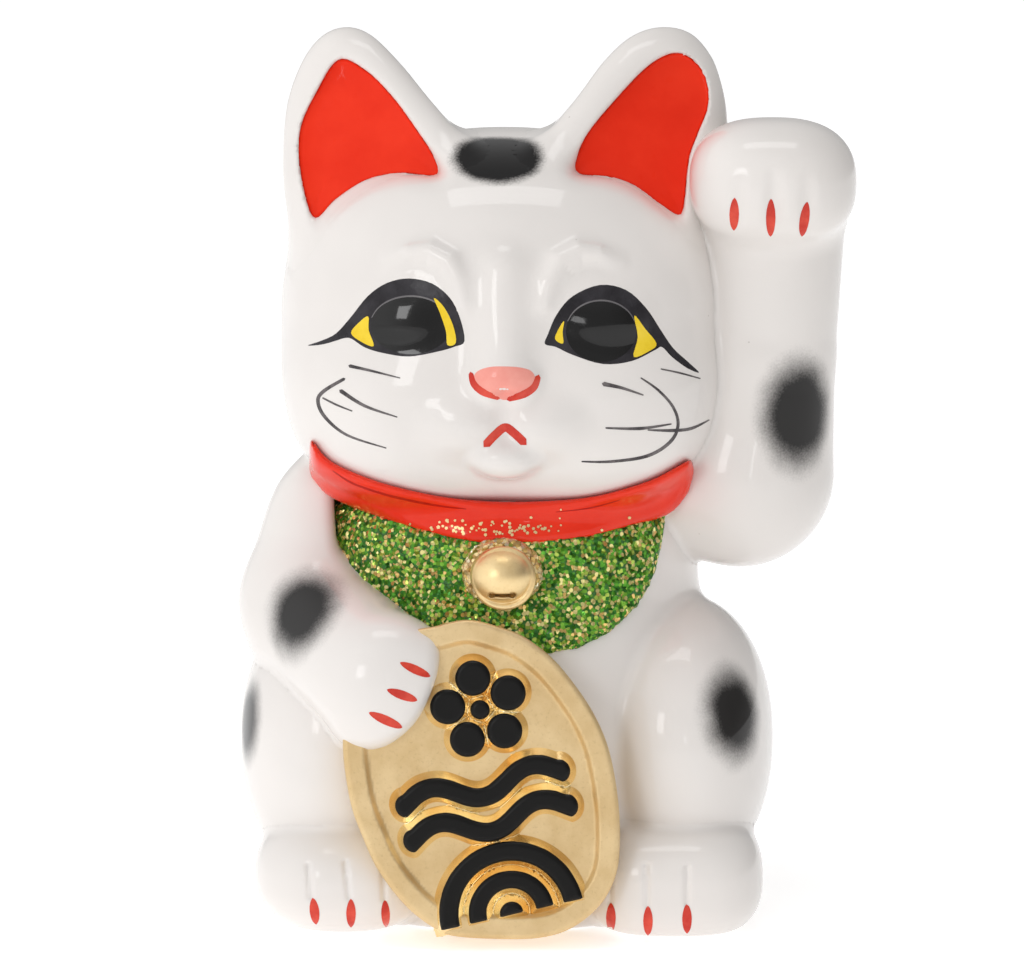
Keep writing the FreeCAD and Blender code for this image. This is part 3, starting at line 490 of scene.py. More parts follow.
def collar_f(P):
    """A flat band hugging the jaw in front and closing round the neck behind."""
    Q = spin(P, (-0.9, -1.5, 88.2), rx=11.0)
    rr = np.sqrt((Q[..., 0] / 1.06) ** 2 + Q[..., 1] ** 2) - 32.2
    coat = body_f(P) - 1.9
    ring = round_join(np.abs(Q[..., 2]) - 4.0, smax(coat, rr - 4.4, 1.0), 1.8)
    ring = np.maximum(ring, -3.0 - P[..., 1])
    seen = seen_outline(P, COLLAR_OUT)
    front = round_join(seen, coat, 1.8)
    front = np.maximum(front, P[..., 1] - 4.0)
    return np.minimum(ring, front)


TAIL = curve([(3, 37.5, 7.6), (12, 41.2, 9.0), (20, 41.6, 13.5), (25.5, 38.6, 20.0), (27.0, 34.6, 27.5)], 4, closed=False)


def tail_f(P):
    return tube(P, [tuple(p) for p in TAIL], np.interp(np.linspace(0, 1, len(TAIL)), [0, 0.4, 0.8, 1.0], [6.4, 7.4, 6.6, 5.6]))


# ---------------------------------------------------------------- Blender objects
# the stopper lies on the cat's own axis, which gives the axis its place in the frame
_lo, _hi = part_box("stopper")
OFFSET = np.round(np.array([(_lo.x + _hi.x) * 500.0, (_lo.y + _hi.y) * 500.0, 0.0]), 2)
print("axis in the frame", OFFSET)


def to_frame(V):
    return (np.asarray(V) + OFFSET) * 0.001


def make(name, V, F, material, normals=None, body=None, slot=None, nodes=()):
    """A mesh object from millimetre vertices and quads or triangles."""
    me = bpy.data.meshes.new(name)
    V = np.asarray(V, float).copy()
    V[:, 2] = np.maximum(V[:, 2], 0.0)
    F = np.asarray(F)
    k = F.shape[1]
    me.vertices.add(len(V))
    me.vertices.foreach_set("co", to_frame(V).astype(np.float32).ravel())
    me.loops.add(F.size)
    me.loops.foreach_set("vertex_index", F.astype(np.int32).ravel())
    me.polygons.add(len(F))
    me.polygons.foreach_set("loop_start", np.arange(0, F.size, k, dtype=np.int32))
    me.polygons.foreach_set("loop_total", np.full(len(F), k, np.int32))
    me.polygons.foreach_set("use_smooth", np.ones(len(F), bool))
    me.update(calc_edges=True)
    me.validate()
    if normals is not None:
        me.normals_split_custom_set_from_vertices(np.asarray(normals, np.float32))
    ob = bpy.data.objects.new(name, me)
    bpy.context.scene.collection.objects.link(ob)
    me.materials.append(material)
    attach(ob, body or BODY)
    if nodes:
        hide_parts(*nodes)
    return ob


def compact(V, F):
    used = np.zeros(len(V), bool)
    used[F.ravel()] = True
    remap = np.cumsum(used) - 1
    return V[used], remap[F], used


def skin(name, f, lo, hi, h, material, shade=None, steps=3, **kw):
    """The field's closed skin as an object, shaded by the field's own slopes."""
    V, F = nets(f, lo, hi, h, steps)
    V, F, _ = compact(V, F)
    n = gradient(shade or f, V, 0.06)
    return make(name, V, F, material, n, **kw)


def grown(part, base, k, sink=1.2, eps=0.02):
    """A part with a fillet of size k where it meets the base. The fillet feathers out onto the base."""
    def body(P):
        b = base(P)
        m = smin(part(P), b, k)
        return np.maximum(np.maximum(m, m - b + eps), -(b + sink))

    def shade(P):
        return smin(part(P), base(P), k)
    return body, shade


def fill_outline(poly, pitch):
    """Triangles covering an outline of the front view, with points every pitch inside it."""
    poly = np.asarray(poly, float)
    lo, hi = poly.min(0), poly.max(0)
    gx, gy = np.meshgrid(np.arange(lo[0], hi[0], pitch), np.arange(lo[1], hi[1], pitch))
    gx = gx + (np.arange(gx.shape[0]) % 2)[:, None] * pitch * 0.5
    pts = np.stack([gx.ravel(), gy.ravel()], -1)
    if len(pts):
        pts = pts[outline_dist(pts[:, 0], pts[:, 1], poly) < -0.45 * pitch]
    n = len(poly)
    verts = [Vector(p) for p in poly] + [Vector(p) for p in pts]
    edges = [(i, (i + 1) % n) for i in range(n)]
    out = delaunay_2d_cdt(verts, edges, [], 1, 1e-4)
    co = np.array([tuple(v) for v in out[0]])
    tri = np.array([f for f in out[2] if len(f) == 3], int).reshape(-1, 3)
    mid = co[tri].mean(1)
    keep = outline_dist(mid[:, 0], mid[:, 1], poly) < 0
    return co, tri[keep]


def paint(name, shapes, f, material, lift=0.06, edge=0.03, sink=0.35, pitch=4.0, near=1090.0, **kw):
    """Painted areas as thin closed coats on a field's surface. shapes are outlines of the front view."""
    cos, tris, ups, base = [], [], [], 0
    for poly in shapes:
        poly = np.asarray(poly, float)
        seg = np.linalg.norm(np.roll(poly, -1, 0) - poly, axis=1)
        poly = poly[seg > 0.05]
        co, tri = fill_outline(poly, pitch)
        d = outline_dist(co[:, 0], co[:, 1], poly)
        cos.append(co)
        tris.append(tri + base)
        ups.append(np.where(d > -0.3, edge, lift))
        base += len(co)
    co, tri, up = np.concatenate(cos), np.concatenate(tris), np.concatenate(ups)
    P = cast(f, co[:, 0], co[:, 1], near=near)
    N = gradient(f, P, 0.08)
    # each triangle's corners wound so that it faces the camera
    a, b, c = P[tri[:, 0]], P[tri[:, 1]], P[tri[:, 2]]
    facing = (np.cross(b - a, c - a) * (CAM_POS - a)).sum(-1)
    tri[facing < 0] = tri[facing < 0][:, ::-1]
    # where a line of sight misses the form there is nothing to paint
    on = np.abs(f(P)) < 0.3
    tri = tri[on[tri].all(1)]
    used = np.unique(tri)
    back = np.zeros(len(P), int)
    back[used] = np.arange(len(used))
    P, N, up, tri = P[used], N[used], up[used], back[tri]
    m = len(P)
    top, low = P + N * up[:, None], P - N * sink
    top[:, 2], low[:, 2] = np.maximum(top[:, 2], 0.02), np.maximum(low[:, 2], 0.02)
    # walls on the boundary edges
    e = np.concatenate([tri[:, [0, 1]], tri[:, [1, 2]], tri[:, [2, 0]]])
    have = set(map(tuple, e.tolist()))
    rim = np.array([(i, j) for i, j in e.tolist() if (j, i) not in have], int).reshape(-1, 2)
    w1 = np.stack([rim[:, 1], rim[:, 0], rim[:, 0] + m], -1)
    w2 = np.stack([rim[:, 1], rim[:, 0] + m, rim[:, 1] + m], -1)
    F = np.concatenate([tri, tri[:, ::-1] + m, w1, w2])
    return make(name, np.concatenate([top, low]), F, material, np.concatenate([N, -N]), **kw)


def stroke(pts, widths, n=6):
    """The outline of a brush stroke through points, with a width at each."""
    p = curve(pts, n, closed=False)
    w = np.interp(np.linspace(0, 1, len(p)), np.linspace(0, 1, len(widths)), widths) / 2
    t = np.gradient(p, axis=0)
    t /= np.linalg.norm(t, axis=1, keepdims=True) + 1e-9
    nrm = np.stack([-t[:, 1], t[:, 0]], -1)
    w = w[:, None]
    left, right = p + nrm * w, (p - nrm * w)[::-1]
    cap0, cap1 = p[:1] - t[:1] * w[:1], p[-1:] + t[-1:] * w[-1:]
    return np.concatenate([left, cap1, right, cap0])


# ---------------------------------------------------------------- materials
def new_material(name):
    m = bpy.data.materials.new(name)
    m.use_nodes = True
    nt = m.node_tree
    return m, nt, nt.nodes["Principled BSDF"]


def node(nt, kind, **inputs):
    n = nt.nodes.new(kind)
    for key, value in inputs.items():
        if key in ("operation", "blend_type", "data_type", "feature", "distance", "noise_dimensions", "clamp", "use_clamp",
                   "interpolation_type", "vector_type", "voronoi_dimensions"):
            setattr(n, key, value)
    return n


def link(nt, a, b):
    nt.links.new(a, b)


def mathn(nt, op, a, b=None, c=None, clamp=False):
    n = nt.nodes.new("ShaderNodeMath")
    n.operation = op
    n.use_clamp = clamp
    for i, v in enumerate((a, b, c)):
        if v is None:
            continue
        if isinstance(v, (int, float)):
            n.inputs[i].default_value = v
        else:
            nt.links.new(v, n.inputs[i])
    return n.outputs[0]


def vmath(nt, op, a, b=None, scale=None):
    n = nt.nodes.new("ShaderNodeVectorMath")
    n.operation = op
    for i, v in enumerate((a, b)):
        if v is None:
            continue
        if isinstance(v, (tuple, list, np.ndarray)):
            n.inputs[i].default_value = tuple(float(x) for x in v)
        else:
            nt.links.new(v, n.inputs[i])
    if scale is not None:
        n.inputs["Scale"].default_value = scale
    return n.outputs["Value"] if op in ("LENGTH", "DOT_PRODUCT", "DISTANCE") else n.outputs["Vector"]


def mixc(nt, fac, a, b):
    n = nt.nodes.new("ShaderNodeMix")
    n.data_type = "RGBA"
    for key, v in ((0, fac), (6, a), (7, b)):
        s = n.inputs[key]
        if isinstance(v, (int, float)):
            s.default_value = v
        elif isinstance(v, (tuple, list)):
            s.default_value = (*v[:3], 1.0)
        else:
            nt.links.new(v, s)
    return n.outputs[2]


def smooth(nt, x, lo, hi, a=0.0, b=1.0):
    n = nt.nodes.new("ShaderNodeMapRange")
    n.interpolation_type = "SMOOTHSTEP"
    nt.links.new(x, n.inputs["Value"])
    for key, v in (("From Min", lo), ("From Max", hi), ("To Min", a), ("To Max", b)):
        n.inputs[key].default_value = v
    return n.outputs["Result"]


def noise(nt, vec, scale, detail=3.0, rough=0.5):
    n = nt.nodes.new("ShaderNodeTexNoise")
    nt.links.new(vec, n.inputs["Vector"])
    n.inputs["Scale"].default_value = scale
    n.inputs["Detail"].default_value = detail
    n.inputs["Roughness"].default_value = rough
    return n


def bump(nt, bsdf, height, strength, distance):
    n = nt.nodes.new("ShaderNodeBump")
    n.inputs["Strength"].default_value = strength
    n.inputs["Distance"].default_value = distance
    nt.links.new(height, n.inputs["Height"])
    nt.links.new(n.outputs["Normal"], bsdf.inputs["Normal"])
    return n


def position(nt):
    return nt.nodes.new("ShaderNodeTexCoord").outputs["Object"]


def srgb(*c):
    return tuple((x / 255 / 12.92) if x / 255 <= 0.04045 else ((x / 255 + 0.055) / 1.055) ** 2.4 for x in c)


def glaze_material(name, spots):
    """White glaze with soft airbrushed black spots. Each spot is a centre, three half sizes, three turns and how soft it is."""
    m, nt, b = new_material(name)
    pos = position(nt)
    white = mixc(nt, smooth(nt, noise(nt, pos, 38.0, 2.0).outputs["Fac"], 0.3, 0.7), srgb(229, 224, 220), srgb(234, 229, 225))
    # faint kiln specks
    vo = nt.nodes.new("ShaderNodeTexVoronoi")
    vo.inputs["Scale"].default_value = 260.0
    nt.links.new(pos, vo.inputs["Vector"])
    hash_ = nt.nodes.new("ShaderNodeTexWhiteNoise")
    nt.links.new(vo.outputs["Position"], hash_.inputs["Vector"])
    speck = mathn(nt, "MULTIPLY", smooth(nt, vo.outputs["Distance"], 0.02, 0.07, 1.0, 0.0), mathn(nt, "GREATER_THAN", hash_.outputs["Value"], 0.985))
    col = mixc(nt, mathn(nt, "MULTIPLY", speck, 0.35), white, srgb(120, 105, 90))
    grain = noise(nt, pos, 2600.0, 1.0).outputs["Fac"]
    wob = noise(nt, pos, 190.0, 2.0).outputs["Fac"]
    dark = None
    for centre, half, turn, core, deep in spots:
        c = to_frame(np.array(centre))
        mp = nt.nodes.new("ShaderNodeMapping")
        mp.vector_type = "TEXTURE"
        mp.inputs["Location"].default_value = tuple(c)
        mp.inputs["Rotation"].default_value = tuple(math.radians(t) for t in turn)
        mp.inputs["Scale"].default_value = tuple(x * 0.001 for x in half)
        nt.links.new(pos, mp.inputs["Vector"])
        r = vmath(nt, "LENGTH", mp.outputs["Vector"])
        r = mathn(nt, "ADD", r, mathn(nt, "MULTIPLY", mathn(nt, "SUBTRACT", wob, 0.5), 0.16))
        r = mathn(nt, "ADD", r, mathn(nt, "MULTIPLY", mathn(nt, "SUBTRACT", grain, 0.5), 0.12))
        s = smooth(nt, r, core, 1.0, deep, 0.0)
        dark = s if dark is None else mathn(nt, "MAXIMUM", dark, s)
    if dark is not None:
        col = mixc(nt, dark, col, srgb(15, 13, 13))
    link(nt, col, b.inputs["Base Color"])
    b.inputs["Roughness"].default_value = 0.30
    b.inputs["IOR"].default_value = 1.45
    b.inputs["Specular IOR Level"].default_value = 0.08
    b.inputs["Coat Weight"].default_value = 0.6
    b.inputs["Coat Roughness"].default_value = 0.05
    b.inputs["Coat IOR"].default_value = 1.45
    peel = noise(nt, pos, 240.0, 3.0, 0.55).outputs["Fac"]
    bump(nt, b, peel, 0.10, 0.0004)
    return m


def enamel(name, a, c, rough=0.16, spread=60.0, bump_h=0.00012, coat=0.8, spec=0.12):
    """Brushed-on gloss colour, a little uneven."""
    m, nt, b = new_material(name)
    pos = position(nt)
    n = noise(nt, pos, spread, 4.0, 0.6).outputs["Fac"]
    link(nt, mixc(nt, smooth(nt, n, 0.3, 0.7), a, c), b.inputs["Base Color"])
    link(nt, smooth(nt, noise(nt, pos, 500.0, 2.0).outputs["Fac"], 0.2, 0.8, rough * 0.7, rough * 1.5), b.inputs["Roughness"])
    b.inputs["Specular IOR Level"].default_value = spec
    b.inputs["Coat Weight"].default_value = min(1.0, coat * 0.4)
    b.inputs["Coat Roughness"].default_value = 0.05
    bump(nt, b, noise(nt, pos, 420.0, 3.0).outputs["Fac"], 0.35, bump_h)
    return m


def gold(name, light, deep, rough, metal=0.9, grain=1500.0, dust=0.35):
    m, nt, b = new_material(name)
    pos = position(nt)
    n = noise(nt, pos, 90.0, 5.0, 0.6).outputs["Fac"]
    g = noise(nt, pos, grain, 2.0, 0.6).outputs["Fac"]
    col = mixc(nt, smooth(nt, n, 0.3, 0.72), deep, light)
    col = mixc(nt, mathn(nt, "MULTIPLY", smooth(nt, g, 0.55, 0.8), dust), col, srgb(120, 86, 40))
    link(nt, col, b.inputs["Base Color"])
    b.inputs["Metallic"].default_value = metal
    link(nt, mathn(nt, "ADD", smooth(nt, n, 0.2, 0.8, rough * 0.8, rough * 1.2), mathn(nt, "MULTIPLY", g, 0.08)), b.inputs["Roughness"])
    bump(nt, b, mathn(nt, "ADD", mathn(nt, "MULTIPLY", n, 0.4), g), 0.22, 0.00012)
    return m


def crest_material(name):
    """Black enamel on the tops of the raised strokes, gold on their flanks and foot."""
    m, nt, b = new_material(name)
    pos = position(nt)
    c = to_frame(COIN_C)
    h = vmath(nt, "DOT_PRODUCT", vmath(nt, "SUBTRACT", pos, tuple(c)), tuple(COIN_N))
    wob = noise(nt, pos, 320.0, 2.0).outputs["Fac"]
    h = mathn(nt, "ADD", h, mathn(nt, "MULTIPLY", mathn(nt, "SUBTRACT", wob, 0.5), 0.00035))
    top = smooth(nt, h, CREST_TOP * 0.001 - 0.00004, CREST_TOP * 0.001 + 0.00004)
    n = noise(nt, pos, 120.0, 4.0).outputs["Fac"]
    golden = mixc(nt, smooth(nt, n, 0.3, 0.7), srgb(238, 200, 134), srgb(253, 236, 190))
    link(nt, mixc(nt, top, golden, srgb(12, 11, 10)), b.inputs["Base Color"])
    link(nt, mathn(nt, "SUBTRACT", 1.0, top), b.inputs["Metallic"])
    link(nt, mathn(nt, "ADD", mathn(nt, "MULTIPLY", top, 0.10), 0.24), b.inputs["Roughness"])
    b.inputs["Specular IOR Level"].default_value = 0.2
    bump(nt, b, noise(nt, pos, 600.0, 2.0).outputs["Fac"], 0.2, 0.0001)
    return m


def glitter_material(name, palette, base, scale=1500.0, bright=0.5):
    """Loose flakes in glue: each cell is one flake with its own colour, tilt and shine."""
    m, nt, b = new_material(name)
    pos = position(nt)
    vo = nt.nodes.new("ShaderNodeTexVoronoi")
    vo.inputs["Scale"].default_value = scale
    nt.links.new(pos, vo.inputs["Vector"])
    sep = nt.nodes.new("ShaderNodeSeparateColor")
    nt.links.new(vo.outputs["Color"], sep.inputs["Color"])
    ramp = nt.nodes.new("ShaderNodeValToRGB")
    ramp.color_ramp.interpolation = "CONSTANT"
    el = ramp.color_ramp.elements
    while len(el) > 1:
        el.remove(el[-1])
    el[0].position, el[0].color = 0.0, (*palette[0][1], 1)
    acc = palette[0][0]
    for w, colr in palette[1:]:
        e = el.new(min(acc, 0.999))
        e.color = (*colr, 1)
        acc += w
    nt.links.new(sep.outputs["Red"], ramp.inputs["Fac"])
    edge = smooth(nt, vo.outputs["Distance"], 0.55, 0.80)
    link(nt, mixc(nt, edge, ramp.outputs["Color"], base), b.inputs["Base Color"])
    link(nt, mathn(nt, "MULTIPLY", mathn(nt, "SUBTRACT", 1.0, edge), 0.6), b.inputs["Metallic"])
    link(nt, smooth(nt, sep.outputs["Green"], 0.0, 1.0, 0.16, 0.5), b.inputs["Roughness"])
    # every flake leans its own way
    lean = vmath(nt, "SCALE", vmath(nt, "SUBTRACT", vo.outputs["Color"], (0.5, 0.5, 0.5)), scale=1.35)
    geo = nt.nodes.new("ShaderNodeNewGeometry")
    nrm = vmath(nt, "NORMALIZE", vmath(nt, "ADD", geo.outputs["Normal"], lean))
    nt.links.new(nrm, b.inputs["Normal"])
    return m


def rubber_material(name):
    m, nt, b = new_material(name)
    pos = position(nt)
    n = noise(nt, pos, 300.0, 4.0).outputs["Fac"]
    link(nt, mixc(nt, n, srgb(38, 38, 40), srgb(62, 61, 60)), b.inputs["Base Color"])
    link(nt, smooth(nt, n, 0.2, 0.8, 0.55, 0.75), b.inputs["Roughness"])
    bump(nt, b, noise(nt, pos, 1800.0, 2.0).outputs["Fac"], 0.3, 0.0001)
    return m


# ---------------------------------------------------------------- finishes
def spot(px, py, f, half, turn=(0, 0, 0), core=0.5, dark=1.0, deeper=1.0):
    """A spot centred where a line of the front view meets a form."""
    p = cast(f, np.array([px], float), np.array([py], float))[0]
    n = gradient(f, p[None], 0.1)[0]
    return tuple(p - n * deeper), half, turn, core, dark


SPOTS = [
    # centre, half sizes, turns, share of the radius that is solid, depth of the black
    spot(801, 414, raised_f, (10.4, 13.0, 14.5), core=0.44, dark=0.985),              # raised arm
    spot(301, 610, lowered_f, (10.4, 14.0, 12.0), (0, 12, 0), core=0.40, dark=0.985), # elbow of the lowered arm
    spot(737, 714, torso_f, (9.2, 12.0, 12.4), core=0.40, dark=0.975),                # left thigh
    spot(247, 721, torso_f, (7.4, 10.0, 10.5), core=0.40, dark=0.98),                 # right thigh
    spot(498, 155, head_f, (10.4, 13.0, 6.2), core=0.70),                             # top of the head
    ((20.0, 38.0, 62.0), (14.0, 14.0, 15.0), (0, 0, 0), 0.45, 0.985),                 # back
    ((27.0, 35.0, 30.0), (9.0, 9.0, 8.0), (0, 0, 0), 0.45, 0.985),                    # tip of the tail
]
GLAZE = glaze_material("white_glaze", SPOTS)
RED = enamel("red_enamel", srgb(230, 42, 16), srgb(240, 54, 26))
EAR_RED = enamel("ear_red", srgb(233, 46, 22), srgb(242, 56, 30), rough=0.35, coat=0.35, spec=0.04)
CLAW_RED = enamel("claw_red", srgb(196, 46, 34), srgb(222, 78, 60), spread=220.0)
PINK = enamel("nose_pink", srgb(240, 150, 138), srgb(246, 168, 155), spread=120.0)
BLACK = enamel("eye_black", srgb(8, 7, 7), srgb(14, 13, 13), rough=0.1, coat=1.7)
LID = enamel("eyelid_charcoal", srgb(40, 38, 41), srgb(58, 56, 60), rough=0.3, spread=160.0, coat=0.2)
LINE = enamel("eye_line_grey", srgb(96, 93, 96), srgb(120, 117, 118), rough=0.35, coat=0.1)
INK = enamel("brush_ink", srgb(62, 58, 60), srgb(118, 112, 112), rough=0.3, spread=350.0, coat=0.4)
YELLOW = enamel("eye_yellow", srgb(236, 200, 40), srgb(246, 214, 60), spread=200.0)
# darker red for the painted shade of the crease near the collar's top edge
CREASE_SHADE_RED = enamel("collar_crease_shade_red", srgb(176, 20, 8), srgb(190, 26, 12), rough=0.4, coat=0.2)
CREST_TOP = 1.75
GOLD = gold("gold_paint", srgb(231, 205, 158), srgb(212, 182, 132), 0.42, metal=0.65, dust=0.16)
BELL_GOLD = gold("bell_gold", srgb(246, 220, 168), srgb(226, 192, 134), 0.33, metal=0.85, dust=0.12)
CREST = crest_material("crest_black_and_gold")
RUBBER = rubber_material("stopper_rubber")
GREENS = [(0.26, srgb(80, 150, 38)), (0.18, srgb(116, 172, 52)), (0.14, srgb(44, 108, 28)), (0.15, srgb(176, 200, 84)),
          (0.17, srgb(236, 222, 146)), (0.10, srgb(242, 202, 122))]
GLITTER = glitter_material("green_glitter", GREENS, srgb(34, 98, 22), scale=1400.0)
GOLD_GLITTER = glitter_material("gold_glitter", [(0.5, srgb(236, 212, 156)), (0.2, srgb(206, 170, 100)), (0.1, srgb(150, 160, 70)),
                                                 (0.2, srgb(252, 240, 206))], srgb(170, 136, 82), scale=1300.0)


# ---------------------------------------------------------------- castings
def base_f(P):
    return np.minimum(torso_f(P), head_f(P))


def cupped_f(P):
    return np.maximum(head_cupped(P, -1), head_cupped(P, 1))


def torso_piece(P):
    d = smax(torso_f(P), P[..., 2] - 97.0, 1.0)
    r = np.sqrt(P[..., 0] ** 2 + P[..., 1] ** 2)
    z = P[..., 2]
    well = np.maximum(r - 13.0, z - 26.0)
    seat = np.maximum(r - 16.6, z - 3.6)
    return np.maximum(d, -np.minimum(well, seat))


def head_piece(P):
    d = smax(cupped_f(P), 78.0 - P[..., 2], 1.0)
    Q = P - np.array([-0.5, 30.0, 128.0])
    slot = round_join(np.maximum(np.abs(Q[..., 0]) - 17.0, np.abs(Q[..., 2]) - 2.5), np.abs(Q[..., 1]) - 16.0, 0.3)
    return smax(d, -slot, 1.0)


skin("torso_casting", torso_piece, (-57, -46, -1.5), (57, 46, 99), 0.9, GLAZE, slot="white_glaze", nodes=("torso",))
skin("head_casting", head_piece, (-47, -47, 76), (46, 40, 157.5), 0.75, GLAZE, slot="white_glaze", nodes=("head",))

for side, word in ((-1, "right"), (1, "left")):
    def f(P, k=side):
        m, b = ear_f(P, k), head_cupped(P, k)
        return np.maximum(np.maximum(m, m - b + 0.02), -(b + 2.0))

    def s(P, k=side):
        return ear_f(P, k)
    lo, hi = ((-53, -34, 118), (2, 22, 178)) if side < 0 else ((-2, -34, 118), (52, 22, 178))
    skin(f"{word}_ear_casting", f, lo, hi, 0.75, GLAZE, shade=s, slot="ear_glaze", nodes=(f"{word}_ear",))

f, s = grown(raised_f, base_f, 1.8, sink=1.5)
skin("raised_arm_casting", f, (16, -33, 64), (72, 16, 162), 0.75, GLAZE, shade=s, slot="white_glaze", nodes=("raised_arm",))
f, s = grown(lowered_f, base_f, 1.8, sink=1.5)
skin("lowered_arm_casting", f, (-57, -55, 32), (-6, 14, 96), 0.7, GLAZE, shade=s, slot="white_glaze", nodes=("lowered_arm",))
for side, word in ((-1, "right"), (1, "left")):
    f, s = grown(lambda P, k=side: foot_f(P, k), torso_f, 2.2, sink=1.5)
    lo, hi = ((-53, -50, -1.5), (-10, -2, 24)) if side < 0 else ((10, -50, -1.5), (54, -2, 24))
    skin(f"{word}_foot_casting", f, lo, hi, 0.65, GLAZE, shade=s, slot="white_glaze", nodes=(f"{word}_foot",))
f, s = grown(tail_f, torso_f, 3.0, sink=1.5)
skin("tail_casting", f, (-4, 24, -1), (36, 52, 38), 0.8, GLAZE, shade=s, slot="white_glaze", nodes=("tail",))


# ---------------------------------------------------------------- collar, bib, bell
def collar_piece(P):
    return np.maximum(collar_f(P), -(body_f(P) + 2.6))


skin("collar_band", collar_piece, (-46, -48, 68), (46, 42, 108), 0.6, RED, shade=collar_f, slot="red_enamel", nodes=("collar",))

rng = np.random.default_rng(7)
LATTICE = rng.random((40, 40, 40))


def lump(P, scale):
    """Smooth random lumps between 0 and 1."""
    q = P / scale
    i = np.floor(q).astype(int)
    t = q - i
    t = t * t * (3 - 2 * t)
    out = 0
    for a in (0, 1):
        for b_ in (0, 1):
            for c in (0, 1):
                w = (t[..., 0] if a else 1 - t[..., 0]) * (t[..., 1] if b_ else 1 - t[..., 1]) * (t[..., 2] if c else 1 - t[..., 2])
                out = out + w * LATTICE[(i[..., 0] + a) % 40, (i[..., 1] + b_) % 40, (i[..., 2] + c) % 40]
    return out


def bib_f(P):
    d2 = seen_outline(P, BIB_OUT)
    d = round_join(d2, torso_f(P) - 1.35, 1.1)
    d = d - 0.5 * (lump(P, 0.8) - 0.5) - 0.35 * (lump(P + 9.7, 2.4) - 0.5)
    d = np.maximum(d, P[..., 1] + 4.0)
    return np.maximum(d, -(torso_f(P) + 0.8))


skin("glitter_bib", bib_f, (-42, -42, 48), (40, 0, 92), 0.42, GLITTER, steps=1, slot="green_glitter", nodes=("bib",))

BELL_C = np.array([-0.9, -36.8, 71.8])


def bell_f(P):
    d = egg(P, BELL_C + np.array([0, -1.2, 0]), (6.3, 6.0, 5.6))
    rim = torus(P, BELL_C + np.array([0.3, -3.1, -0.3]), 5.5, 0.75, rx=84)
    d = smin(d, rim, 0.35)
    Q = P - BELL_C - np.array([0, -1.2, 0])
    slit = np.maximum(np.abs(Q[..., 2] + 3.2) - 0.35, np.maximum(np.abs(Q[..., 0]) - 2.0, Q[..., 1]))
    eyes = np.minimum(np.sqrt((Q[..., 0] - 2.0) ** 2 + (Q[..., 2] + 3.2) ** 2), np.sqrt((Q[..., 0] + 2.0) ** 2 + (Q[..., 2] + 3.2) ** 2)) - 0.6
    deep = np.maximum(np.minimum(slit, np.maximum(eyes, Q[..., 1])), 3.6 - np.sqrt((Q ** 2).sum(-1)))
    return smax(d, -deep, 0.3)


skin("bell_ball", bell_f, BELL_C - 8.5, BELL_C + 8.0, 0.28, BELL_GOLD, slot="gold_paint", nodes=("bell",))


def bell_ring_f(P):
    Q = P - BELL_C
    r = np.sqrt((Q[..., 0] / 7.9) ** 2 + (Q[..., 2] / 6.7) ** 2)
    d = (r - 1.0) * 6.5
    d = round_join(d, torso_f(P) - 2.7, 1.2) - 0.5 * (lump(P, 0.7) - 0.5)
    d = np.maximum(d, P[..., 1] + 20)
    return np.maximum(d, -(torso_f(P) + 0.5))


skin("bell_glue_glitter", bell_ring_f, BELL_C - (10.5, 8, 9.5), BELL_C + (10.5, 12, 9.5), 0.36, GOLD_GLITTER, steps=1, slot="gold_paint")

# ---------------------------------------------------------------- coin and its ornament
def coin_piece(P):
    return np.maximum(coin_f(P), -(torso_f(P) + 1.5))


skin("oval_coin_plate", coin_piece, (-40, -54, -1.2), (28, -20, 70), 0.5, GOLD, shade=coin_f, slot="gold_paint", nodes=("oval_coin",))


def crest_plan(u, w):
    """Distance to the ornament's strokes in the coin's plane, in millimetres."""
    d = np.full(u.shape, 1e9)
    bu, bw = u - 3.0, w - 15.6
    for k in range(5):
        t = math.radians(90 + 72 * k)
        cu, cw = 6.3 * math.cos(t), 6.3 * math.sin(t)
        d = np.minimum(d, np.sqrt((bu - cu) ** 2 + (bw - cw) ** 2) - 3.15)
    d = np.minimum(d, np.sqrt(bu ** 2 + bw ** 2) - 1.6)
    for w0, half in ((0.8, 15.5), (-6.2, 15.5)):
        uu = np.clip(u, -half, half)
        y = w0 - 2.0 * np.cos(uu * (2 * math.pi / 20.0))
        slope = 2.0 * (2 * math.pi / 20.0) * np.sin(uu * (2 * math.pi / 20.0))
        dv = (w - y) / np.sqrt(1 + slope ** 2)
        d = np.minimum(d, np.sqrt(dv ** 2 + (u - uu) ** 2) - 1.6)
    r = np.sqrt(u ** 2 + (w + 24.6) ** 2)
    low = -(w + 24.6)
    for R, t in ((12.2, 1.6), (6.6, 1.45)):
        d = np.minimum(d, np.maximum(np.abs(r - R) - t, low))
    return np.minimum(d, np.maximum(r - 2.0, low))


def crest_f(P):
    Q = P - COIN_C
    h, u, w = Q @ COIN_N, Q @ COIN_U, Q @ COIN_W
    d2 = crest_plan(u, w)
    # soft flanks that spread outwards at the foot
    flank = (d2 + (h - 2.2) * 0.68) * 0.83
    top = h - 2.4
    d = smax(flank, top, 0.5)
    return np.maximum(d, -(h + 0.6))


skin("coin_ornament", crest_f, (-36, -54, 0), (24, -36, 66), 0.42, CREST, steps=2, slot="black_enamel", nodes=("coin_crest",))

# ---------------------------------------------------------------- stopper
me = frame["nodes"]["stopper"]
me.data.materials.clear()
me.data.materials.append(RUBBER)

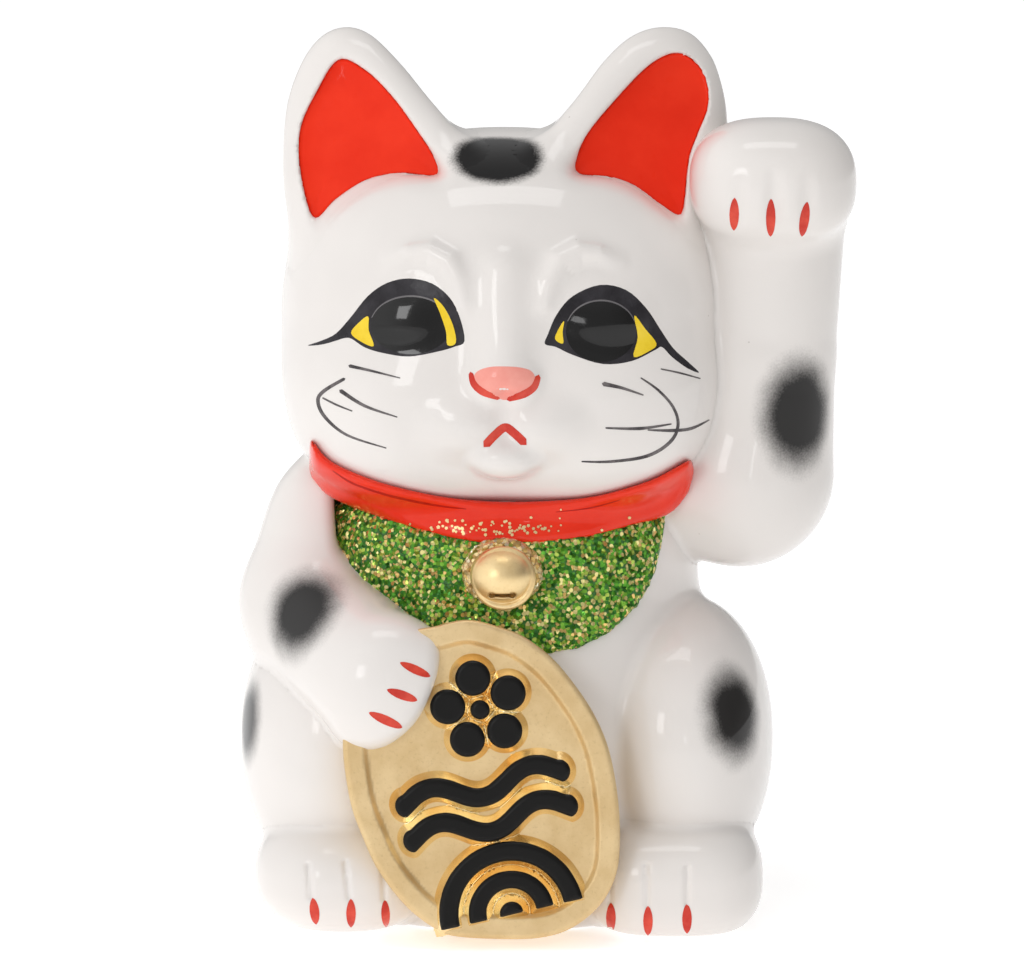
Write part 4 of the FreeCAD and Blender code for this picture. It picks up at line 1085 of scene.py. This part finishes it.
# ---------------------------------------------------------------- painted face
LEFT_EYE = curve([(308, 345.5), (322, 340.5), (336, 333.5), (351, 317), (368, 296), (387, 283), (409, 278.5), (432, 283.5), (450, 298), (460, 318),
                  (464.5, 341), (455, 346.5), (438, 351.5), (409, 356.5), (383, 353), (365, 347.5), (352, 339), (345, 338), (335, 341), (322, 344.5)], 4)
RIGHT_EYE = curve([(545, 344), (548, 334), (557, 314), (573, 296), (600, 285), (626, 290), (646, 308), (660, 329), (673, 348), (687, 361), (699, 372.5),
                   (687, 368), (672, 357), (662, 347), (655, 350), (632, 361), (603, 364), (573, 355), (556, 347)], 4)
paint("left_eyelid_paint", [RIGHT_EYE], head_f, LID, pitch=4, lift=0.07, slot="white_glaze")
paint("right_eyelid_paint", [LEFT_EYE], head_f, LID, pitch=4, lift=0.07, slot="white_glaze")


def ellipse(cx, cy, rx, ry, n=44, tilt=0.0):
    t = np.arange(n) * (2 * math.pi / n)
    c, s_ = math.cos(tilt), math.sin(tilt)
    x, y = rx * np.cos(t), ry * np.sin(t)
    return np.stack([cx + c * x - s_ * y, cy + s_ * x + c * y], -1)


def arc(cx, cy, rx, ry, a0, a1, n=9):
    return [(cx + rx * math.cos(math.radians(a0 + (a1 - a0) * i / (n - 1))), cy + ry * math.sin(math.radians(a0 + (a1 - a0) * i / (n - 1)))) for i in range(n)]


paint("iris_black_paint", [ellipse(411, 325.5, 40.0, 28.8), ellipse(601, 331.5, 35.0, 30.5)], head_f, BLACK, pitch=4, lift=0.12, edge=0.1, sink=0.1,
      slot="white_glaze")
paint("iris_top_line", [stroke(arc(411, 325.5, 40.5, 29.3, 196, 344), [0.8, 1.5, 1.7, 1.5, 0.8], n=3),
                        stroke(arc(601, 331.5, 35.5, 31.0, 200, 340), [0.8, 1.5, 1.7, 1.5, 0.8], n=3)], head_f, LINE, pitch=6, lift=0.15, edge=0.13,
      sink=0.1, slot="white_glaze")
YELLOWS = [
    curve([(351.5, 333), (360, 322), (368.5, 316.5), (369, 330), (374, 346), (362, 342)], 4),
    curve([(434, 298), (444, 307), (453, 325), (456, 342.5), (447.5, 345), (446, 331), (440, 313)], 4),
    curve([(634, 315.5), (645, 329), (656, 343.5), (650, 350.5), (633.5, 357), (637.5, 337)], 4),
    curve([(564, 321), (558.5, 329), (555, 339), (563, 343.5), (562.5, 332)], 4),
]
paint("eye_yellow_paint", YELLOWS, head_f, YELLOW, pitch=3, lift=0.17, edge=0.14, sink=0.1, slot="white_glaze")
NOSE = curve([(474, 378), (478, 371), (490, 367), (505, 366.5), (520, 367.5), (531, 371), (535, 379), (528, 388), (512, 397), (505, 400), (496, 397), (481, 388)], 4)
paint("nose_pink_paint", [NOSE], head_f, PINK, pitch=3, lift=0.06, slot="white_glaze")
REDS = [
    stroke([(471, 374), (474, 384), (483, 392), (498, 398)], [4.5, 6.5, 7, 4]),
    stroke([(538, 377), (534, 387), (524, 394), (509, 399)], [5, 7, 7.5, 5]),
    stroke([(486.5, 444), (495, 435), (505, 427.5), (514, 433), (523.5, 442)], [8.5, 8.5, 8.5, 8.5, 8.5], n=8),
]
paint("nose_and_mouth_red_paint", REDS, head_f, CLAW_RED, pitch=3, lift=0.1, edge=0.06, slot="white_glaze")
WHISKERS_R = [
    stroke([(350, 366), (372, 371), (400, 378)], [3.51, 2.43, 1.08]),
    stroke([(344, 379), (324, 391), (318, 401), (325, 417), (347, 435), (386, 448)], [2.97, 3.51, 3.51, 3.24, 2.43, 1.08]),
    stroke([(341, 391), (365, 406), (397, 417)], [4.05, 2.97, 1.08]),
    stroke([(323, 398), (337, 405), (352, 411)], [1.62, 1.89, 1.08]),
]
WHISKERS_L = [
    stroke([(604, 384), (622, 388), (643, 395)], [4.59, 2.97, 1.35]),
    stroke([(641, 378), (658, 390), (673, 407), (678, 425), (670, 442), (647, 456), (611, 461.5), (582, 461.5)], [1.35, 2.43, 2.7, 2.97, 3.24, 3.24, 2.7, 1.35]),
    stroke([(606, 428), (640, 428.5), (671, 424)], [1.62, 3.24, 1.35]),
    stroke([(648, 430), (672, 430.5), (691, 428.5), (709, 420)], [1.35, 3.24, 2.97, 1.08]),
    stroke([(661, 369), (680, 373), (700, 378.5)], [1.22, 1.76, 1.08]),
]
paint("right_whiskers", WHISKERS_R, head_f, INK, pitch=6, lift=0.06, edge=0.05, slot="white_glaze")
paint("left_whiskers", WHISKERS_L, head_f, INK, pitch=6, lift=0.06, edge=0.05, slot="white_glaze")


paint("right_ear_red_paint", [EAR_L_RED], lambda P: ear_f(P, -1), EAR_RED, pitch=3, lift=0.2, edge=0.12, sink=0.8, slot="ear_glaze")
paint("left_ear_red_paint", [EAR_R_RED], lambda P: ear_f(P, 1), EAR_RED, pitch=3, lift=0.2, edge=0.12, sink=0.8, slot="ear_glaze")


# painted shade: a darker red line near the collar's top edge stands in for the shadow of a crease there; the band
# itself has no groove
paint("collar_crease_shade_line", [stroke([(333, 471), (352, 483), (380, 493), (410, 500.5), (440, 506), (466, 509)], [0.8, 2.0, 2.2, 2.2, 1.8, 0.7]),
                             stroke([(556, 512), (590, 508), (620, 500)], [0.6, 1.4, 0.6])],
      collar_f, CREASE_SHADE_RED, pitch=5, lift=0.06, edge=0.03, slot="red_enamel")
r3 = np.random.default_rng(11)
SPECKS = []
for i in range(90):
    x = 492 + r3.normal() * 52
    y = 536 - abs(r3.normal()) * 9 - abs(x - 492) * 0.05
    if not (350 < x < 640) or y < 508:
        continue
    t0, q = r3.random() * 6.3, 0.9 + r3.random() * 1.1
    SPECKS.append(np.array([(x + q * math.cos(t0 + k * 1.257), y + q * math.sin(t0 + k * 1.257)) for k in range(5)]))
paint("collar_gold_flakes", SPECKS, collar_f, BELL_GOLD, pitch=50, lift=0.18, edge=0.16, sink=0.1, slot="gold_paint")


def claw(x0, y0, x1, y1, w):
    return stroke([(x0, y0), ((x0 + x1) / 2, (y0 + y1) / 2), (x1, y1)], [w * 0.25, w * 0.62, w * 0.88, w * 0.96, w * 0.9, w * 0.7, w * 0.3], n=8)


paint("raised_paw_claws", [claw(734.5, 199, 734, 229, 10), claw(771, 200, 770.5, 235, 10), claw(807, 203, 802, 235, 10)],
      raised_f, CLAW_RED, pitch=3, lift=0.12, edge=0.06, slot="white_glaze")
paint("lowered_paw_claws", [claw(401, 663, 429, 676, 9), claw(388, 690, 416, 700, 9.5), claw(370, 713, 401, 727, 9.5)],
      lowered_f, CLAW_RED, pitch=3, lift=0.12, edge=0.06, slot="white_glaze")
paint("right_foot_claws", [claw(313, 899, 316, 923, 10), claw(351, 900, 351, 926, 10), claw(385, 901, 386, 926, 9)],
      lambda P: foot_f(P, -1), CLAW_RED, pitch=3, lift=0.12, edge=0.06, slot="white_glaze")
paint("left_foot_claws", [claw(611, 904, 611, 931, 10), claw(648, 907, 648, 934, 10), claw(687, 905, 687, 932, 10)],
      lambda P: foot_f(P, 1), CLAW_RED, pitch=3, lift=0.12, edge=0.06, slot="white_glaze")

# ---------------------------------------------------------------- floor, light and camera
def plain(name, colour, rough, glow=0.0):
    m, nt, b = new_material(name)
    b.inputs["Emission Color"].default_value = (1, 1, 1, 1)
    b.inputs["Emission Strength"].default_value = glow
    b.inputs["Specular IOR Level"].default_value = 0.1
    b.inputs["Base Color"].default_value = (*colour, 1)
    b.inputs["Roughness"].default_value = rough
    return m


bpy.ops.mesh.primitive_plane_add(size=6.0, location=(0, 0, -0.0002))
floor = bpy.context.object
floor.name = "floor"
floor.data.materials.append(plain("floor_white", (0.86, 0.86, 0.86), 0.7, glow=0.49))


def softbox(name, loc, target, w, h_, power, colour=(1, 1, 1)):
    la = bpy.data.lights.new(name, "AREA")
    la.shape = "RECTANGLE"
    la.size, la.size_y = w, h_
    la.energy = power
    la.color = colour
    ob = bpy.data.objects.new(name, la)
    bpy.context.scene.collection.objects.link(ob)
    ob.location = loc
    ob.rotation_euler = (Vector(target) - Vector(loc)).to_track_quat("-Z", "Y").to_euler()
    return ob


softbox("top_softbox", (0.0, -0.12, 1.15), (0, 0, 0.1), 0.55, 0.30, 1.7)
softbox("front_left_softbox", (-0.66, -1.2, 0.50), (0, 0, 0.1), 0.28, 0.40, 1.9)
softbox("front_window", (0.18, -1.32, 0.21), (0, 0, 0.12), 0.07, 0.11, 0.10)
world = bpy.data.worlds.new("studio")
bpy.context.scene.world = world
world.use_nodes = True
wt = world.node_tree
# a bright room in front and overhead, dimmer to the sides
d = wt.nodes.new("ShaderNodeTexCoord").outputs["Generated"]
axes = wt.nodes.new("ShaderNodeSeparateXYZ")
wt.links.new(d, axes.inputs["Vector"])
left = smooth(wt, mathn(wt, "MULTIPLY", axes.outputs["X"], -1.0), 0.1, 1.0, 0.0, 0.88)
front = smooth(wt, mathn(wt, "MULTIPLY", axes.outputs["Y"], -1.0), 0.0, 1.0, 0.0, 0.40)
back = smooth(wt, axes.outputs["Y"], 0.3, 1.0, 0.0, 0.30)
over = smooth(wt, axes.outputs["Z"], 0.15, 1.0, 0.0, 0.42)
level = mathn(wt, "ADD", mathn(wt, "ADD", mathn(wt, "ADD", front, back), mathn(wt, "ADD", over, left)), 0.11)
wt.links.new(level, wt.nodes["Background"].inputs["Strength"])
wt.nodes["Background"].inputs["Color"].default_value = (1, 1, 1, 1)
bpy.context.scene.view_settings.view_transform = "Standard"

cam = bpy.data.cameras.new("camera")
cam.sensor_width = 36.0
cam.lens = 36.0 * CAM_D / (1024 * MM)
cam.clip_start, cam.clip_end = 0.05, 20.0
camera = bpy.data.objects.new("camera", cam)
bpy.context.scene.collection.objects.link(camera)
camera.location = to_frame(CAM_POS)
camera.rotation_euler = (math.radians(90) - CAM_EL, 0, 0)
bpy.context.scene.camera = camera

bpy.context.view_layer.update()
